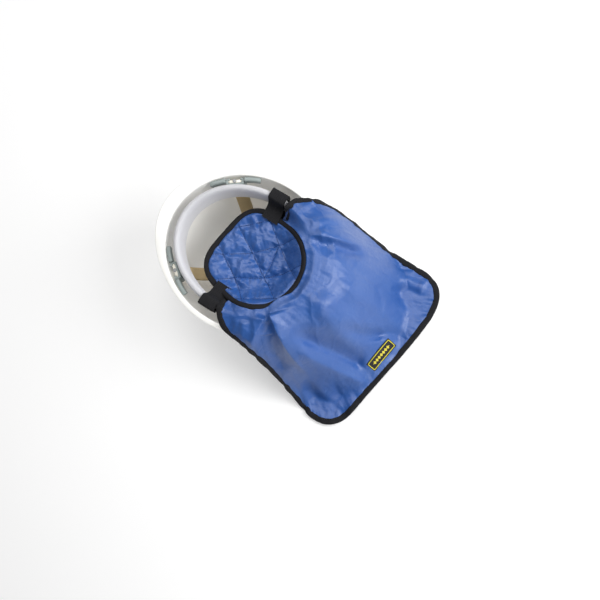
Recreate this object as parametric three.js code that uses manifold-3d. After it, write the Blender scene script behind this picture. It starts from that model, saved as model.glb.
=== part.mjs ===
// Hard hat lying on its crown, with a quilted cooling pad strapped to its headband and a
// neck shade that runs from the pad over the rear rim. Millimetres, +Z up, +Y to the rear.
// The origin is the middle of the flat on the crown that the hat lies on.
import * as THREE from 'three';
import { mergeVertices } from 'three/addons/utils/BufferGeometryUtils.js';
import Module from 'manifold-3d';

const wasm = await Module();
wasm.setup();

// ---- driving dimensions ----
const gap = 0.4;                  // clearance between pieces that touch
const hatTurn = 8;                // degrees the hat is turned under the pad and shade
const shellHalfWidth = 107;
const shellHalfLength = 122;
const shellHeight = 132;
const shellWall = 2.5;
const crownFlatAngle = 16;        // degrees of the dome taken by the flat
const domeFullness = 0.8;         // below 1 makes the dome fuller than an ellipsoid
const brimWidth = 5;
const visorReach = 12;
const visorRise = 0.2;
const bracketAngle = 47;          // degrees from the hat's centre line
const bracketSize = [25, 9, shellHeight / 6];
const bracketBelowRim = shellHeight / 33;
const crownStrapWidth = 19;
const webbingThickness = 1.4;
const crownStrapLow = 34;         // height of the upper crown strap where the two cross
const bandSideRoom = 18.5;        // from the shell's inside to the headband's inner face
const bandEndRoom = 14.5;
const bandHalfWidth = shellHalfWidth - shellWall - bandSideRoom;
const bandHalfLength = shellHalfLength - shellWall - bandEndRoom;
const bandThickness = 2;
const bandDepth = 32;
const bandAboveRim = 6;
const bandTop = shellHeight + bandAboveRim;
const bandBottom = bandTop - bandDepth;
const keySize = [19.4, 3, bandDepth - 6];
const bandRearGap = 50;           // half the opening at the nape
const browThickness = 7.5;
const browRound = 2.6;
const housingSize = [62, 9, 28];
const housingMiddle = bandBottom + 6;   // height of the knob's axis
const knobRadius = 15;
const knobLength = 9;
const ribCount = 16;
const pinionRadius = 3.4;
const tailHeight = 5;
const tailLength = 62;
const padInsideBand = 19;
const padHalfWidth = bandHalfWidth - padInsideBand;
const padHalfLength = 71;
const padMiddle = 20;
const padFrontSquareness = 3.3;
const padRearSquareness = 2.2;
const padBelowBand = 26;
const padHeight = bandTop - padBelowBand;   // height of the pad's face at its middle
const padDish = 8;
const padRise = 27;
const coreThickness = 6.5;
const coverThickness = 1.1;
const bindingWidth = 9;
const bindingThickness = 3.6;
const sheetThickness = 1.1;
const strapWidth = 26;
const strapThickness = 1.6;
const patchThickness = 0.9;
const tabLength = 11.4;
const tableHeight = 2.6;          // the shade's face where it lies on the table
const hingeBehindBand = 7;
const hingeY = bandHalfLength + hingeBehindBand;   // where the skirt folds from the yoke
const foldGap = 1.4;
const skirtLength = 131;
const hemY = hingeY + skirtLength;
const sideReach = 58;             // how far past the brim the shade meets the table, to each side
const rearReach = skirtLength - 27;
const ringClearance = 6.5;        // the shade's face over the headband and over the brim
const brimClearance = 6.2;
const strapInset = 15;            // from the wall to each end of a crown strap
const cornerPinch = 12;
const shadeShift = -12;           // the skirt hangs a little to one side
const skirtHalfWidth = 128;
const hemHalfWidth = 142;
const cornerDrop = 30;
const lobeFront = [9, 30];        // where the right and the left lobe start
const lobeAngle = [99, 82];       // degrees round the pad from the nape to each lobe's start
const lobeTaper = [36, 19];       // how far each lobe narrows towards its start
const yokeCorner = 0.42;          // share of the yoke's turn where its outer edge leaves the fold
const labelSize = [50, 15, 0.8];
const labelBorder = 1.6;
const labelAside = 5;

// ---- materials ----
const finish = (color, roughness, metalness = 0) =>
  new THREE.MeshStandardMaterial({ color, roughness, metalness });
const shellPlastic = finish(0xf6f5ef, 0.32);
const bracketPlastic = finish(0x99a29f, 0.5);
const keyPlastic = finish(0xe9e4d2, 0.4);
const crownWebbing = finish(0xd6bb8c, 0.85);
const bandPlastic = finish(0xd9dade, 0.45);
const browFoam = finish(0xd8d9dd, 0.6);
const darkPlastic = finish(0x2b2b2e, 0.45);
const blueNylon = finish(0x3f68a8, 0.42);
const liningFabric = finish(0x2a3f66, 0.85);
const coreFoam = finish(0x8f98a8, 0.9);
const blackBinding = finish(0x1d1d20, 0.8);
const blackWebbing = finish(0x242427, 0.85);
const hookLoop = finish(0x2d2d31, 0.95);
const labelBlack = finish(0x141416, 0.6);
const labelYellow = finish(0xddcf3c, 0.6);

// ---- helpers ----
const rad = THREE.MathUtils.degToRad;
const clamp01 = (value) => THREE.MathUtils.clamp(value, 0, 1);
const smooth = (value) => THREE.MathUtils.smoothstep(value, 0, 1);
const lerp = THREE.MathUtils.lerp;

const model = new THREE.Group();
const hat = new THREE.Group();
hat.rotation.z = rad(hatTurn);
model.add(hat);

/** Adds a named piece to the model, or to the turned group it belongs in. */
function add(name, geometry, material, parent = model) {
  const mesh = new THREE.Mesh(geometry, material);
  mesh.name = name;
  parent.add(mesh);
  return mesh;
}

/** Moves every corner of a geometry to where place puts it. */
function bend(geometry, place) {
  const corners = geometry.attributes.position;
  const corner = new THREE.Vector3();
  for (let i = 0; i < corners.count; i += 1) {
    corner.fromBufferAttribute(corners, i);
    const moved = place(corner.x, corner.y, corner.z);
    corners.setXYZ(i, moved.x, moved.y, moved.z);
  }
  geometry.computeVertexNormals();
  return geometry;
}

/** Turns the diagonal of one four-sided cell, so that layers in a stack share their facets. */
function turnDiagonal(index, start) {
  const [a, b, d, ...rest] = index.slice(start, start + 6);
  const c = rest.find((corner) => corner !== b && corner !== d);
  index.set([a, b, c, a, c, d], start);
}

/** A slab over the unit square, thickness through, bent into place. */
function sheet(across, along, thickness, place) {
  const slab = new THREE.BoxGeometry(1, 1, thickness, across, along, 1);
  const underside = slab.groups[5];
  for (let cell = 0; cell < underside.count; cell += 6) {
    turnDiagonal(slab.index.array, underside.start + cell);
  }
  return bend(slab, (x, y, z) => place(x + 0.5, y + 0.5, z));
}

/** A slab that follows a curved surface, its middle a depth under the surface. */
function layer(across, along, thickness, depth, surface) {
  const step = 1e-3;
  return sheet(across, along, thickness, (s, t, w) => {
    const acrossWay = surface(s + step, t).sub(surface(s - step, t));
    const alongWay = surface(s, t + step).sub(surface(s, t - step));
    const normal = acrossWay.cross(alongWay).normalize();
    return surface(s, t).addScaledVector(normal, w - depth);
  });
}

/** Turns a geometry into a solid for cutting and joining. */
function solid(geometry) {
  const bare = geometry.index ? geometry.toNonIndexed() : geometry.clone();
  bare.deleteAttribute('normal');
  bare.deleteAttribute('uv');
  const merged = mergeVertices(bare, 1e-4);
  return new wasm.Manifold(new wasm.Mesh({
    numProp: 3,
    vertProperties: new Float32Array(merged.attributes.position.array),
    triVerts: new Uint32Array(merged.index.array),
  }));
}

/** Turns a solid back into a geometry. */
function geometryOf(body) {
  const mesh = body.getMesh();
  const geometry = new THREE.BufferGeometry();
  geometry.setAttribute('position', new THREE.BufferAttribute(new Float32Array(mesh.vertProperties), 3));
  geometry.setIndex(new THREE.BufferAttribute(new Uint32Array(mesh.triVerts), 1));
  geometry.computeVertexNormals();
  return geometry;
}

/** A box standing at a place, turned about the upright axis. */
function block(size, x, y, z, turn = 0) {
  const box = new THREE.BoxGeometry(...size);
  box.rotateZ(turn);
  box.translate(x, y, z);
  return box;
}

/** A flat outline drawn up to a height. */
function prism(shape, height, base, segments = 40) {
  const body = new THREE.ExtrudeGeometry(shape, { depth: height, bevelEnabled: false, curveSegments: segments });
  body.translate(0, 0, base);
  return body;
}

/** The arc between two ellipses, from one angle to another. */
function ringSector(inner, outer, from, to) {
  const shape = new THREE.Shape();
  shape.absellipse(0, 0, outer[0], outer[1], from, to, false);
  shape.absellipse(0, 0, inner[0], inner[1], to, from, true);
  shape.closePath();
  return shape;
}

/** A profile in the X-Z plane drawn along Y about a middle. */
function strapProfile(points, width, middleY) {
  const shape = new THREE.Shape(points.map(([x, z]) => new THREE.Vector2(x, z)));
  const body = new THREE.ExtrudeGeometry(shape, { depth: width, bevelEnabled: false });
  body.rotateX(Math.PI / 2);
  body.translate(0, middleY + width / 2, 0);
  return body;
}

/** The mirror image of a geometry across the centre plane, still facing out. */
function mirrored(geometry) {
  const copy = geometry.index ? geometry.toNonIndexed() : geometry.clone();
  const p = copy.attributes.position;
  for (let i = 0; i < p.count; i += 3) {
    const corner = [0, 1, 2].map((k) => new THREE.Vector3().fromBufferAttribute(p, i + k));
    [0, 2, 1].forEach((k, slot) => p.setXYZ(i + slot, -corner[k].x, corner[k].y, corner[k].z));
  }
  copy.computeVertexNormals();
  return copy;
}

// ---- shell: a full dome on its crown, a narrow brim and a short visor ----
/** Radius share and height of the dome at an angle from its crown. */
function dome(angle, width, height) {
  const flatCos = Math.cos(rad(crownFlatAngle));
  return new THREE.Vector2(
    width * Math.sin(rad(angle)) ** domeFullness,
    (height * (flatCos - Math.cos(rad(angle)))) / flatCos,
  );
}

function makeShell() {
  const profile = [new THREE.Vector2(0, 0)];
  const steps = 9;
  for (let i = 0; i <= steps; i += 1) {
    profile.push(dome(lerp(crownFlatAngle, 90, i / steps), shellHalfWidth, shellHeight));
  }
  for (let i = steps; i >= 0; i -= 1) {
    const inner = dome(lerp(crownFlatAngle, 90, i / steps), shellHalfWidth - shellWall, shellHeight - shellWall);
    profile.push(new THREE.Vector2(inner.x, inner.y + shellWall));
  }
  profile.push(new THREE.Vector2(0, shellWall));
  const bowl = new THREE.LatheGeometry(profile, 44);
  bowl.rotateX(Math.PI / 2);
  bowl.scale(1, shellHalfLength / shellHalfWidth, 1);
  let body = solid(bowl);

  const brim = new THREE.Shape();
  const outerX = shellHalfWidth + brimWidth;
  const outerY = shellHalfLength + brimWidth;
  brim.absellipse(0, 0, outerX, outerY, 0, Math.PI, false);
  brim.bezierCurveTo(-outerX, -outerY * 0.55, -outerX * 0.62, -outerY - visorReach, 0, -outerY - visorReach);
  brim.bezierCurveTo(outerX * 0.62, -outerY - visorReach, outerX, -outerY * 0.55, outerX, 0);
  const hole = new THREE.Path();
  hole.absellipse(0, 0, shellHalfWidth - shellWall / 2, shellHalfLength - shellWall / 2, 0, 2 * Math.PI, true);
  brim.holes.push(hole);
  const flange = bend(prism(brim, shellWall, shellHeight - shellWall, 16), (x, y, z) =>
    new THREE.Vector3(x, y, z + visorRise * Math.max(0, -y - shellHalfLength)));
  return geometryOf(body.add(solid(flange)));
}

/** The four places round the rim where the suspension hangs. */
function hangingPlaces() {
  const places = [];
  for (const side of [-1, 1]) {
    for (const end of [-1, 1]) {
      const x = side * Math.sin(rad(bracketAngle));
      const y = end * Math.cos(rad(bracketAngle));
      const reach = 1 / Math.hypot(x / (shellHalfWidth - shellWall), y / (shellHalfLength - shellWall));
      const turn = Math.atan2(y / shellHalfLength ** 2, x / shellHalfWidth ** 2) - Math.PI / 2;
      places.push({ x: x * reach, y: y * reach, turn, name: `${end < 0 ? 'front' : 'rear'}_${side < 0 ? 'right' : 'left'}` });
    }
  }
  return places;
}

/** A piece made about a bracket's own middle, set in place beside the wall. */
function placed(geometry, place, height) {
  const inward = bracketSize[1] / 2 + 3;
  const copy = geometry.clone();
  copy.translate(0, -inward, 0);
  copy.rotateZ(place.turn);
  copy.translate(place.x, place.y, height);
  return copy;
}

add('shell', makeShell(), shellPlastic, hat);

// ---- suspension: brackets and their keys, two crown straps, headband and brow pad ----
const bracketMiddle = shellHeight - bracketBelowRim - bracketSize[2] / 2;

/** A bracket with a slot right through for its key and a window that shows it. */
function makeBracket() {
  const slot = block([keySize[0] + 2 * gap, keySize[1] + 2 * gap, bracketSize[2] + 2], 0, 0, 0);
  const window = block([keySize[0] * 0.55, bracketSize[1], bracketSize[2] + 2], 0, bracketSize[1] / 2, 0);
  return geometryOf(solid(block(bracketSize, 0, 0, 0)).subtract(solid(slot)).subtract(solid(window)));
}
for (const place of hangingPlaces()) {
  add(`bracket_${place.name}`, placed(makeBracket(), place, bracketMiddle), bracketPlastic, hat);
  add(`strap_key_${place.name}`, placed(block(keySize, 0, 0, 0), place, bracketMiddle - 2), keyPlastic, hat);
}

/** A crown strap from one front key down under the pad to the far rear key. */
function makeCrownStrap(front, rear, lowest) {
  const top = bracketMiddle - 2 - keySize[2] / 2 - 2;
  const pull = (place) => new THREE.Vector2(place.x, place.y).multiplyScalar(1 - strapInset / Math.hypot(place.x, place.y));
  const from = pull(front);
  const to = pull(rear);
  const across = to.clone().sub(from).normalize();
  const height = (s) => lowest + (top - lowest) * Math.abs(2 * s - 1) ** 2.6;
  return sheet(1, 18, webbingThickness, (t, s, w) => {
    const run = to.clone().sub(from).length();
    const slope = (height(clamp01(s + 0.01)) - height(clamp01(s - 0.01))) / (0.02 * run);
    const tilt = Math.atan(slope);
    const side = (0.5 - t) * crownStrapWidth;
    const along = s * run - w * Math.sin(tilt);
    return new THREE.Vector3(
      from.x + across.x * along - across.y * side,
      from.y + across.y * along + across.x * side,
      height(s) + w * Math.cos(tilt),
    );
  });
}
const corners = Object.fromEntries(hangingPlaces().map((place) => [place.name, place]));
add('crown_strap_upper', makeCrownStrap(corners.front_right, corners.rear_left, crownStrapLow), crownWebbing, hat);
add('crown_strap_lower', makeCrownStrap(corners.front_left, corners.rear_right, crownStrapLow - 6), crownWebbing, hat);

const bandInner = [bandHalfWidth, bandHalfLength];
const bandOuter = [bandHalfWidth + bandThickness, bandHalfLength + bandThickness];
const rearAngle = Math.acos(bandRearGap / bandHalfWidth);
const bandShape = ringSector(bandInner, bandOuter, Math.PI - rearAngle, 2 * Math.PI + rearAngle);
add('headband', prism(bandShape, bandTop - bandBottom, bandBottom, 44), bandPlastic, hat);

const browOuter = [bandHalfWidth - gap - browRound, bandHalfLength - gap - browRound];
const browInner = [bandHalfWidth - browThickness + browRound, bandHalfLength - browThickness + browRound];
const browEnd = rad(7);
const browShape = ringSector(browInner, browOuter, Math.PI - browEnd, 2 * Math.PI + browEnd);
const brow = new THREE.ExtrudeGeometry(browShape, {
  depth: bandTop - bandBottom - 2 * browRound + 2, bevelEnabled: true, bevelThickness: browRound,
  bevelSize: browRound, bevelSegments: 2, curveSegments: 36,
});
brow.translate(0, 0, bandBottom + browRound);
add('brow_pad', brow, browFoam, hat);

// ---- nape adjuster: housing, cover, knob with its pinion and the two toothed tails ----
const housingY = bandHalfLength - 12;
const tailRise = pinionRadius + 0.8 + tailHeight / 2;
const channelHeight = 2 * tailRise + tailHeight + 2 * gap;

function makeHousing() {
  const [width, depth, height] = housingSize;
  const outer = solid(block(housingSize, 0, housingY, housingMiddle));
  const channel = solid(block([width + 2, depth - 5, channelHeight], 0, housingY + 0.4, housingMiddle));
  const mouth = new THREE.CylinderGeometry(pinionRadius + 1.4, pinionRadius + 1.4, depth, 24);
  mouth.translate(0, housingY + depth / 2, housingMiddle);
  return geometryOf(outer.subtract(channel).subtract(solid(mouth)));
}
add('nape_housing', makeHousing(), bandPlastic, hat);

const coverY = housingY - housingSize[1] / 2 - gap - 1.2;
add('nape_pad', block([housingSize[0] + 8, 2.4, housingSize[2] - 6], 0, coverY, housingMiddle), browFoam, hat);

/** A round piece with evenly spaced ribs, its axis along Y. */
function ribbed(radius, length, count, depth, middleY) {
  const shape = new THREE.Shape();
  const steps = count * 4;
  for (let i = 0; i < steps; i += 1) {
    const angle = (2 * Math.PI * i) / steps;
    const reach = radius - (i % 4 < 2 ? 0 : depth);
    shape[i === 0 ? 'moveTo' : 'lineTo'](reach * Math.cos(angle), reach * Math.sin(angle));
  }
  shape.closePath();
  const body = new THREE.ExtrudeGeometry(shape, { depth: length, bevelEnabled: false });
  body.rotateX(Math.PI / 2);
  body.translate(0, middleY + length / 2, housingMiddle);
  return body;
}
const knobY = housingY + housingSize[1] / 2 + 1 + knobLength / 2;
add('ratchet_knob', ribbed(knobRadius, knobLength, ribCount, 1.2, knobY), darkPlastic, hat);
const pinionLength = knobY - knobLength / 2 - gap - (housingY - 1.5);
add('ratchet_pinion', ribbed(pinionRadius, pinionLength, 8, 0.7,
  knobY - knobLength / 2 - gap - pinionLength / 2), bandPlastic, hat);

for (const side of [-1, 1]) {
  const name = side < 0 ? 'right' : 'left';
  const middle = side * (bandRearGap - 3 - tailLength / 2);
  const tail = block([tailLength, 2.6, tailHeight], middle, housingY + 0.4, housingMiddle + side * tailRise);
  add(`band_tail_${name}`, tail, bandPlastic, hat);
}

// ---- cooling pad: cover, core and lining inside a bound edge ----
/** A point of the plan as the turned hat sees it. */
function inHat(x, y) {
  return new THREE.Vector2(x, y).rotateAround(new THREE.Vector2(), -rad(hatTurn));
}

/** Where a point lies in plan, from 0 in the middle of the headband to 1 at its inner face. */
function bandShare(x, y) {
  const place = inHat(x, y);
  return Math.hypot(place.x / bandHalfWidth, place.y / bandHalfLength);
}

/** Height of the pad's face: dished across, rising to the nape at the rear. */
function padFace(x, y) {
  const across = x / padHalfWidth;
  const rise = smooth((bandShare(x, y) - 0.5) / 0.38) * smooth(y / 60);
  return padHeight + padDish * across ** 2 + padRise * rise;
}

/** A point of the pad's plan, from an angle off the rear axis and a share of the edge. */
function padPlan(angle, share, spare = 0) {
  const sin = Math.sin(angle);
  const cos = Math.cos(angle);
  const power = cos > 0 ? padRearSquareness : padFrontSquareness;
  const width = Math.abs(sin / (padHalfWidth + spare)) ** power;
  const length = Math.abs(cos / (padHalfLength + spare)) ** power;
  const reach = (width + length) ** (-1 / power);
  return new THREE.Vector2(share * reach * sin, padMiddle + share * reach * cos);
}

/** A layer of the pad between two shares of its edge, at a depth under its face. */
function padLayer(from, to, depth, thickness) {
  const rings = from > 0 ? 1 : 5;
  const profile = [];
  for (let i = 0; i <= rings; i += 1) profile.push(new THREE.Vector2(lerp(from, to, i / rings), 0));
  for (let i = rings; i >= 0; i -= 1) profile.push(new THREE.Vector2(lerp(from, to, i / rings), 1));
  if (from > 0) profile.push(profile[0].clone());
  const segments = 36;
  const disc = new THREE.LatheGeometry(profile, segments);
  const cells = profile.length - 1;
  for (let cell = 0; cell < segments * cells; cell += 1) {
    if (cell % cells > rings) turnDiagonal(disc.index.array, cell * 6);
  }
  return bend(disc, (x, y, z) => {
    const plan = padPlan(Math.atan2(x, -z), Math.hypot(x, z));
    return new THREE.Vector3(plan.x, plan.y, padFace(plan.x, plan.y) - depth - thickness * (1 - y));
  });
}
const padInside = 1 - bindingWidth / padHalfWidth;
const padDepth = 2 * coverThickness + coreThickness + 2 * gap;
add('pad_cover', padLayer(0, padInside, 0, coverThickness), blueNylon);
add('pad_core', padLayer(0, padInside, coverThickness + gap, coreThickness), coreFoam);
add('pad_lining', padLayer(0, padInside, coverThickness + coreThickness + 2 * gap, coverThickness), liningFabric);
add('pad_binding', padLayer(padInside + 0.008, 1, padDepth / 2 - 2.6, 5.2), blackBinding);

// ---- straps: over the headband, with a tab that grips the strap behind ----
const ringInside = bandHalfWidth - browThickness;
const strapTop = bandTop + 2 + 1.4;
const outsideX = bandHalfWidth + bandThickness + 0.6;
const patchX = outsideX + strapThickness + gap;
const hookX = patchX + patchThickness + gap;
const tabX = hookX + patchThickness + gap;
const tabTop = strapTop - 1.2;       // the tab's hinge line, clear of the strap above it

function strapPieces() {
  const start = padHalfWidth + 3.5;
  const height = padFace(start, 0);
  const over = [
    [start, height + 1], [ringInside - 3, height + 9], [ringInside - 1, strapTop], [tabX + strapThickness, strapTop],
    [tabX + strapThickness, strapTop + strapThickness], [ringInside - 1.6, strapTop + strapThickness],
    [ringInside - 4.4, height + 10], [start, height + 1 + strapThickness],
  ];
  const under = bandBottom - 2.2;
  const back = [
    [start, height - 6], [ringInside - 4, under], [outsideX, under], [outsideX, bandTop - 1],
    [outsideX + strapThickness, bandTop - 1], [outsideX + strapThickness, under - strapThickness],
    [ringInside - 5, under - strapThickness], [start, height - 6 - strapThickness],
  ];
  const bar = (x, thickness, top, length) => [
    [x, top - length], [x + thickness, top - length], [x + thickness, top], [x, top],
  ];
  return {
    over_strap: [over, strapWidth, blackWebbing],
    back_strap: [back, strapWidth, blackWebbing],
    loop_patch: [bar(patchX, patchThickness, bandTop - 2, 17), strapWidth - 2, hookLoop],
    hook_patch: [bar(hookX, patchThickness, tabTop - 2, tabLength - 3), strapWidth - 2, hookLoop],
    tab: [bar(tabX, strapThickness, tabTop, tabLength), strapWidth, blackWebbing],
  };
}
for (const [name, [points, width, material]] of Object.entries(strapPieces())) {
  const left = strapProfile(points, width, 0);
  add(`left_${name}`, left, material, hat);
  add(`right_${name}`, mirrored(left), material, hat);
}

// ---- neck shade: a yoke that stays with the pad and a skirt that falls over the rear rim ----
/** How far a point lies outside the brim, in plan. */
function beyondBrim(x, y) {
  const place = inHat(x, y);
  const share = Math.hypot(place.x / (shellHalfWidth + brimWidth), place.y / (shellHalfLength + brimWidth));
  return (share - 1) * (shellHalfWidth + shellHalfLength) / 2;
}

/** Height of the shade's face: over the headband, down to the brim, then to the table. */
function drape(x, y) {
  const out = beyondBrim(x, y);
  const overBand = bandTop + ringClearance;
  const overBrim = shellHeight + brimClearance;
  const rearward = Math.max(0, y) ** 2 / (x * x + y * y + 1);
  const reach = lerp(sideReach, rearReach, rearward);
  const share = clamp01(out / reach);
  const fall = 0.5 * share + 0.25 * (1 - Math.cos(Math.PI * share));
  return lerp(overBand, overBrim, smooth((out + 24) / 22)) - (overBrim - tableHeight) * fall;
}

/** A point of the yoke: turn goes from one lobe round the nape to the other, out from pad to edge. */
function yokePlan(turn, out) {
  const angle = lerp(-rad(lobeAngle[0]), rad(lobeAngle[1]), turn);
  const inner = padPlan(angle, 1, 1.2);
  const side = Math.sign(turn - 0.5);
  const lobe = side < 0 ? 0 : 1;
  const swing = Math.abs(2 * turn - 1);
  const outer = new THREE.Vector2();
  if (swing < yokeCorner) {
    outer.set(side * (skirtHalfWidth * swing) / yokeCorner, hingeY - foldGap);
  } else {
    const share = (swing - yokeCorner) / (1 - yokeCorner);
    outer.set(side * (skirtHalfWidth - lobeTaper[lobe] * share ** 2.4), lerp(hingeY - foldGap, lobeFront[lobe], share));
  }
  outer.x += shadeShift;
  return inner.lerp(outer, out);
}

/** The share of the way out where the yoke's cloth ends, short of the bound edges. */
function yokeEdge(turn) {
  return 1 - 0.106 * smooth((Math.abs(2 * turn - 1) - yokeCorner + 0.06) / 0.04);
}

function yokeSheet(from, to, outFrom, outTo, depth, thickness, across, along) {
  return layer(across, along, thickness, depth, (s, t) => {
    const turn = lerp(from, to, s);
    const out = lerp(outFrom, outTo ?? yokeEdge(turn), t);
    const plan = yokePlan(turn, out);
    const inner = yokePlan(turn, 0);
    const lift = smooth((bandShare(plan.x, plan.y) - 0.84) / 0.1);
    const height = lerp(padFace(inner.x, inner.y) + 1, drape(plan.x, plan.y), lift);
    return new THREE.Vector3(plan.x, plan.y, height);
  });
}
const liningDepth = sheetThickness + gap;
const lobeEnd = 0.03;
const lobeSide = (1 - yokeCorner) / 2;
add('yoke_face', yokeSheet(lobeEnd, 1 - lobeEnd, 0, null, 0, sheetThickness, 32, 7), blueNylon);
add('yoke_lining', yokeSheet(lobeEnd, 1 - lobeEnd, 0, null, liningDepth, sheetThickness, 32, 7), liningFabric);
const yokeBinding = (from, to, outFrom, outTo, across, along) =>
  yokeSheet(from, to, outFrom, outTo, liningDepth / 2, bindingThickness, across, along);
add('right_lobe_binding', yokeBinding(0, lobeSide, 0.925, 1, 10, 1), blackBinding);
add('left_lobe_binding', yokeBinding(1 - lobeSide, 1, 0.925, 1, 10, 1), blackBinding);
add('right_lobe_front_binding', yokeBinding(0, lobeEnd - 0.006, 0.02, 0.89, 1, 8), blackBinding);
add('left_lobe_front_binding', yokeBinding(1 - lobeEnd + 0.006, 1, 0.02, 0.89, 1, 8), blackBinding);

/** A point of the skirt: across from side to side, down from the fold to the hem. */
function skirtPlan(across, down) {
  const side = 2 * across - 1;
  const bottom = hemY - cornerDrop * Math.abs(side) ** 6;
  const y = lerp(hingeY, bottom, down);
  const widen = smooth((y - hingeY) / (hemY - hingeY));
  const pinch = cornerPinch * down ** 8;
  return new THREE.Vector2(
    side * (lerp(skirtHalfWidth, hemHalfWidth, widen) - pinch) + shadeShift, y);
}

function skirtSheet(from, to, top, bottom, depth, thickness, across, along) {
  return layer(across, along, thickness, depth, (s, t) => {
    const plan = skirtPlan(lerp(from, to, s), lerp(top, bottom, t));
    return new THREE.Vector3(plan.x, plan.y, drape(plan.x, plan.y));
  });
}
const sideShare = bindingWidth / (2 * hemHalfWidth);
const hemShare = bindingWidth / (hemY - hingeY);
const seam = 0.003;
add('skirt_face', skirtSheet(sideShare + seam, 1 - sideShare - seam, 0, 1 - hemShare - 2 * seam,
  0, sheetThickness, 22, 12), blueNylon);
add('skirt_lining', skirtSheet(sideShare + seam, 1 - sideShare - seam, 0, 1 - hemShare - 2 * seam,
  liningDepth, sheetThickness, 22, 12), liningFabric);
const sideBinding = (from, to) =>
  skirtSheet(from, to, 0, 1 - hemShare - 0.02, liningDepth / 2, bindingThickness, 1, 12);
add('right_side_binding', sideBinding(0, sideShare - seam), blackBinding);
add('left_side_binding', sideBinding(1 - sideShare + seam, 1), blackBinding);
add('hem_binding', skirtSheet(0, 1, 1 - hemShare + seam, 1, liningDepth / 2, bindingThickness, 24, 1), blackBinding);

// ---- label near the hem: a dark patch with a raised border ----
/** Lays a flat piece on the skirt, its middle near the hem. */
function onSkirt(geometry, lift) {
  const x = shadeShift - labelAside;
  const y = hemY - bindingWidth - 6 - labelSize[1] / 2;
  const slopeX = drape(x + 1, y) - drape(x - 1, y);
  const slopeY = drape(x, y + 1) - drape(x, y - 1);
  const normal = new THREE.Vector3(-slopeX / 2, -slopeY / 2, 1).normalize();
  const down = new THREE.Vector3(1, 0, 0).cross(normal).negate().normalize();
  const across = down.clone().cross(normal);
  const middle = new THREE.Vector3(x, y, drape(x, y)).addScaledVector(normal, lift);
  geometry.applyMatrix4(new THREE.Matrix4().makeBasis(across, down, normal).setPosition(middle));
  return geometry;
}
const labelLift = sheetThickness / 2 + 1.3;
add('label_patch', onSkirt(new THREE.BoxGeometry(...labelSize), labelLift), labelBlack);
const [borderLength, borderWidth] = [labelSize[0] - 2, labelSize[1] - 2];
const frame = solid(new THREE.BoxGeometry(borderLength, borderWidth, 0.5)).subtract(
  solid(new THREE.BoxGeometry(borderLength - 2 * labelBorder, borderWidth - 2 * labelBorder, 2)));
add('label_border', onSkirt(geometryOf(frame), labelLift + 0.95), labelYellow);

export default model;
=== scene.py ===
"""A hard hat on its crown, with a quilted cooling pad strapped in and a neck shade over its rear rim."""

import logging
import math
from dataclasses import dataclass, field
from enum import Enum

import bmesh
import bpy
import numpy as np
from mathutils import Matrix, Vector


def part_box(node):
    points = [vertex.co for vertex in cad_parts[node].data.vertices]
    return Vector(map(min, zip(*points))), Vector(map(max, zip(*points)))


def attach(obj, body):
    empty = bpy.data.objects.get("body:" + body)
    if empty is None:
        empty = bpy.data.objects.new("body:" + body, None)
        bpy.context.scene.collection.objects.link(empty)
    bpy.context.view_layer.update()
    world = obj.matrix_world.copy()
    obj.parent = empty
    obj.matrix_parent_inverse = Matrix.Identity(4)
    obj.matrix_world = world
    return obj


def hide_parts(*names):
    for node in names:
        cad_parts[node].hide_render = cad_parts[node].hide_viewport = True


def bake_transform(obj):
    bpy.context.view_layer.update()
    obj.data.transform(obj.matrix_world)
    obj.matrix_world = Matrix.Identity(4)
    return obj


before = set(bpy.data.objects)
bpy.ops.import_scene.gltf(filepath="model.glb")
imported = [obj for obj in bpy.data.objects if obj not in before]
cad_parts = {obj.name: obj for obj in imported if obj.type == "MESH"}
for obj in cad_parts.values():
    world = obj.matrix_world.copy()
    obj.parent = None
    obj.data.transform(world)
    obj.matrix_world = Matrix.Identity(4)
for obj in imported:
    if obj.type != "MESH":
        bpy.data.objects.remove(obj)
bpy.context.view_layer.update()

log = logging.getLogger("cooling_pad_hat")

MM = 0.001
HAT_TURN = math.radians(8)


class Body(Enum):
    """The moving bodies of the assembly."""

    HAT = "hard_hat"
    SKIRT = "shade_skirt"
    LEFT_TAB = "left_strap_tab"
    RIGHT_TAB = "right_strap_tab"


class Side(Enum):
    """The wearer's left and right, as a sign on X."""

    LEFT = 1
    RIGHT = -1

    @property
    def word(self) -> str:
        """The side's name in lower case."""
        return self.name.lower()


# ---- numbers over a surface ----


def smooth(value: np.ndarray) -> np.ndarray:
    """A soft step from 0 to 1."""
    held = np.clip(value, 0.0, 1.0)
    return held * held * (3 - 2 * held)


def lerp(start: np.ndarray, end: np.ndarray, share: np.ndarray) -> np.ndarray:
    """The value a share of the way from start to end."""
    return start + (end - start) * share


def unit(vectors: np.ndarray) -> np.ndarray:
    """Each vector at length 1."""
    length = np.linalg.norm(vectors, axis=-1, keepdims=True)
    return vectors / np.maximum(length, 1e-9)


def hat_to_row(points: np.ndarray) -> np.ndarray:
    """Turns points from the hat's own axes into the assembly's.

    Args:
        points: Places in the hat's axes, in millimetres.

    Returns:
        The same places in the assembly's axes.
    """
    cos, sin = math.cos(HAT_TURN), math.sin(HAT_TURN)
    turned = np.array(points, float)
    turned[..., 0], turned[..., 1] = (
        cos * points[..., 0] - sin * points[..., 1],
        sin * points[..., 0] + cos * points[..., 1],
    )
    return turned


def in_hat(x: np.ndarray, y: np.ndarray) -> tuple[np.ndarray, np.ndarray]:
    """Turns places in plan from the assembly's axes into the hat's own."""
    cos, sin = math.cos(HAT_TURN), math.sin(HAT_TURN)
    return cos * x + sin * y, cos * y - sin * x


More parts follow.
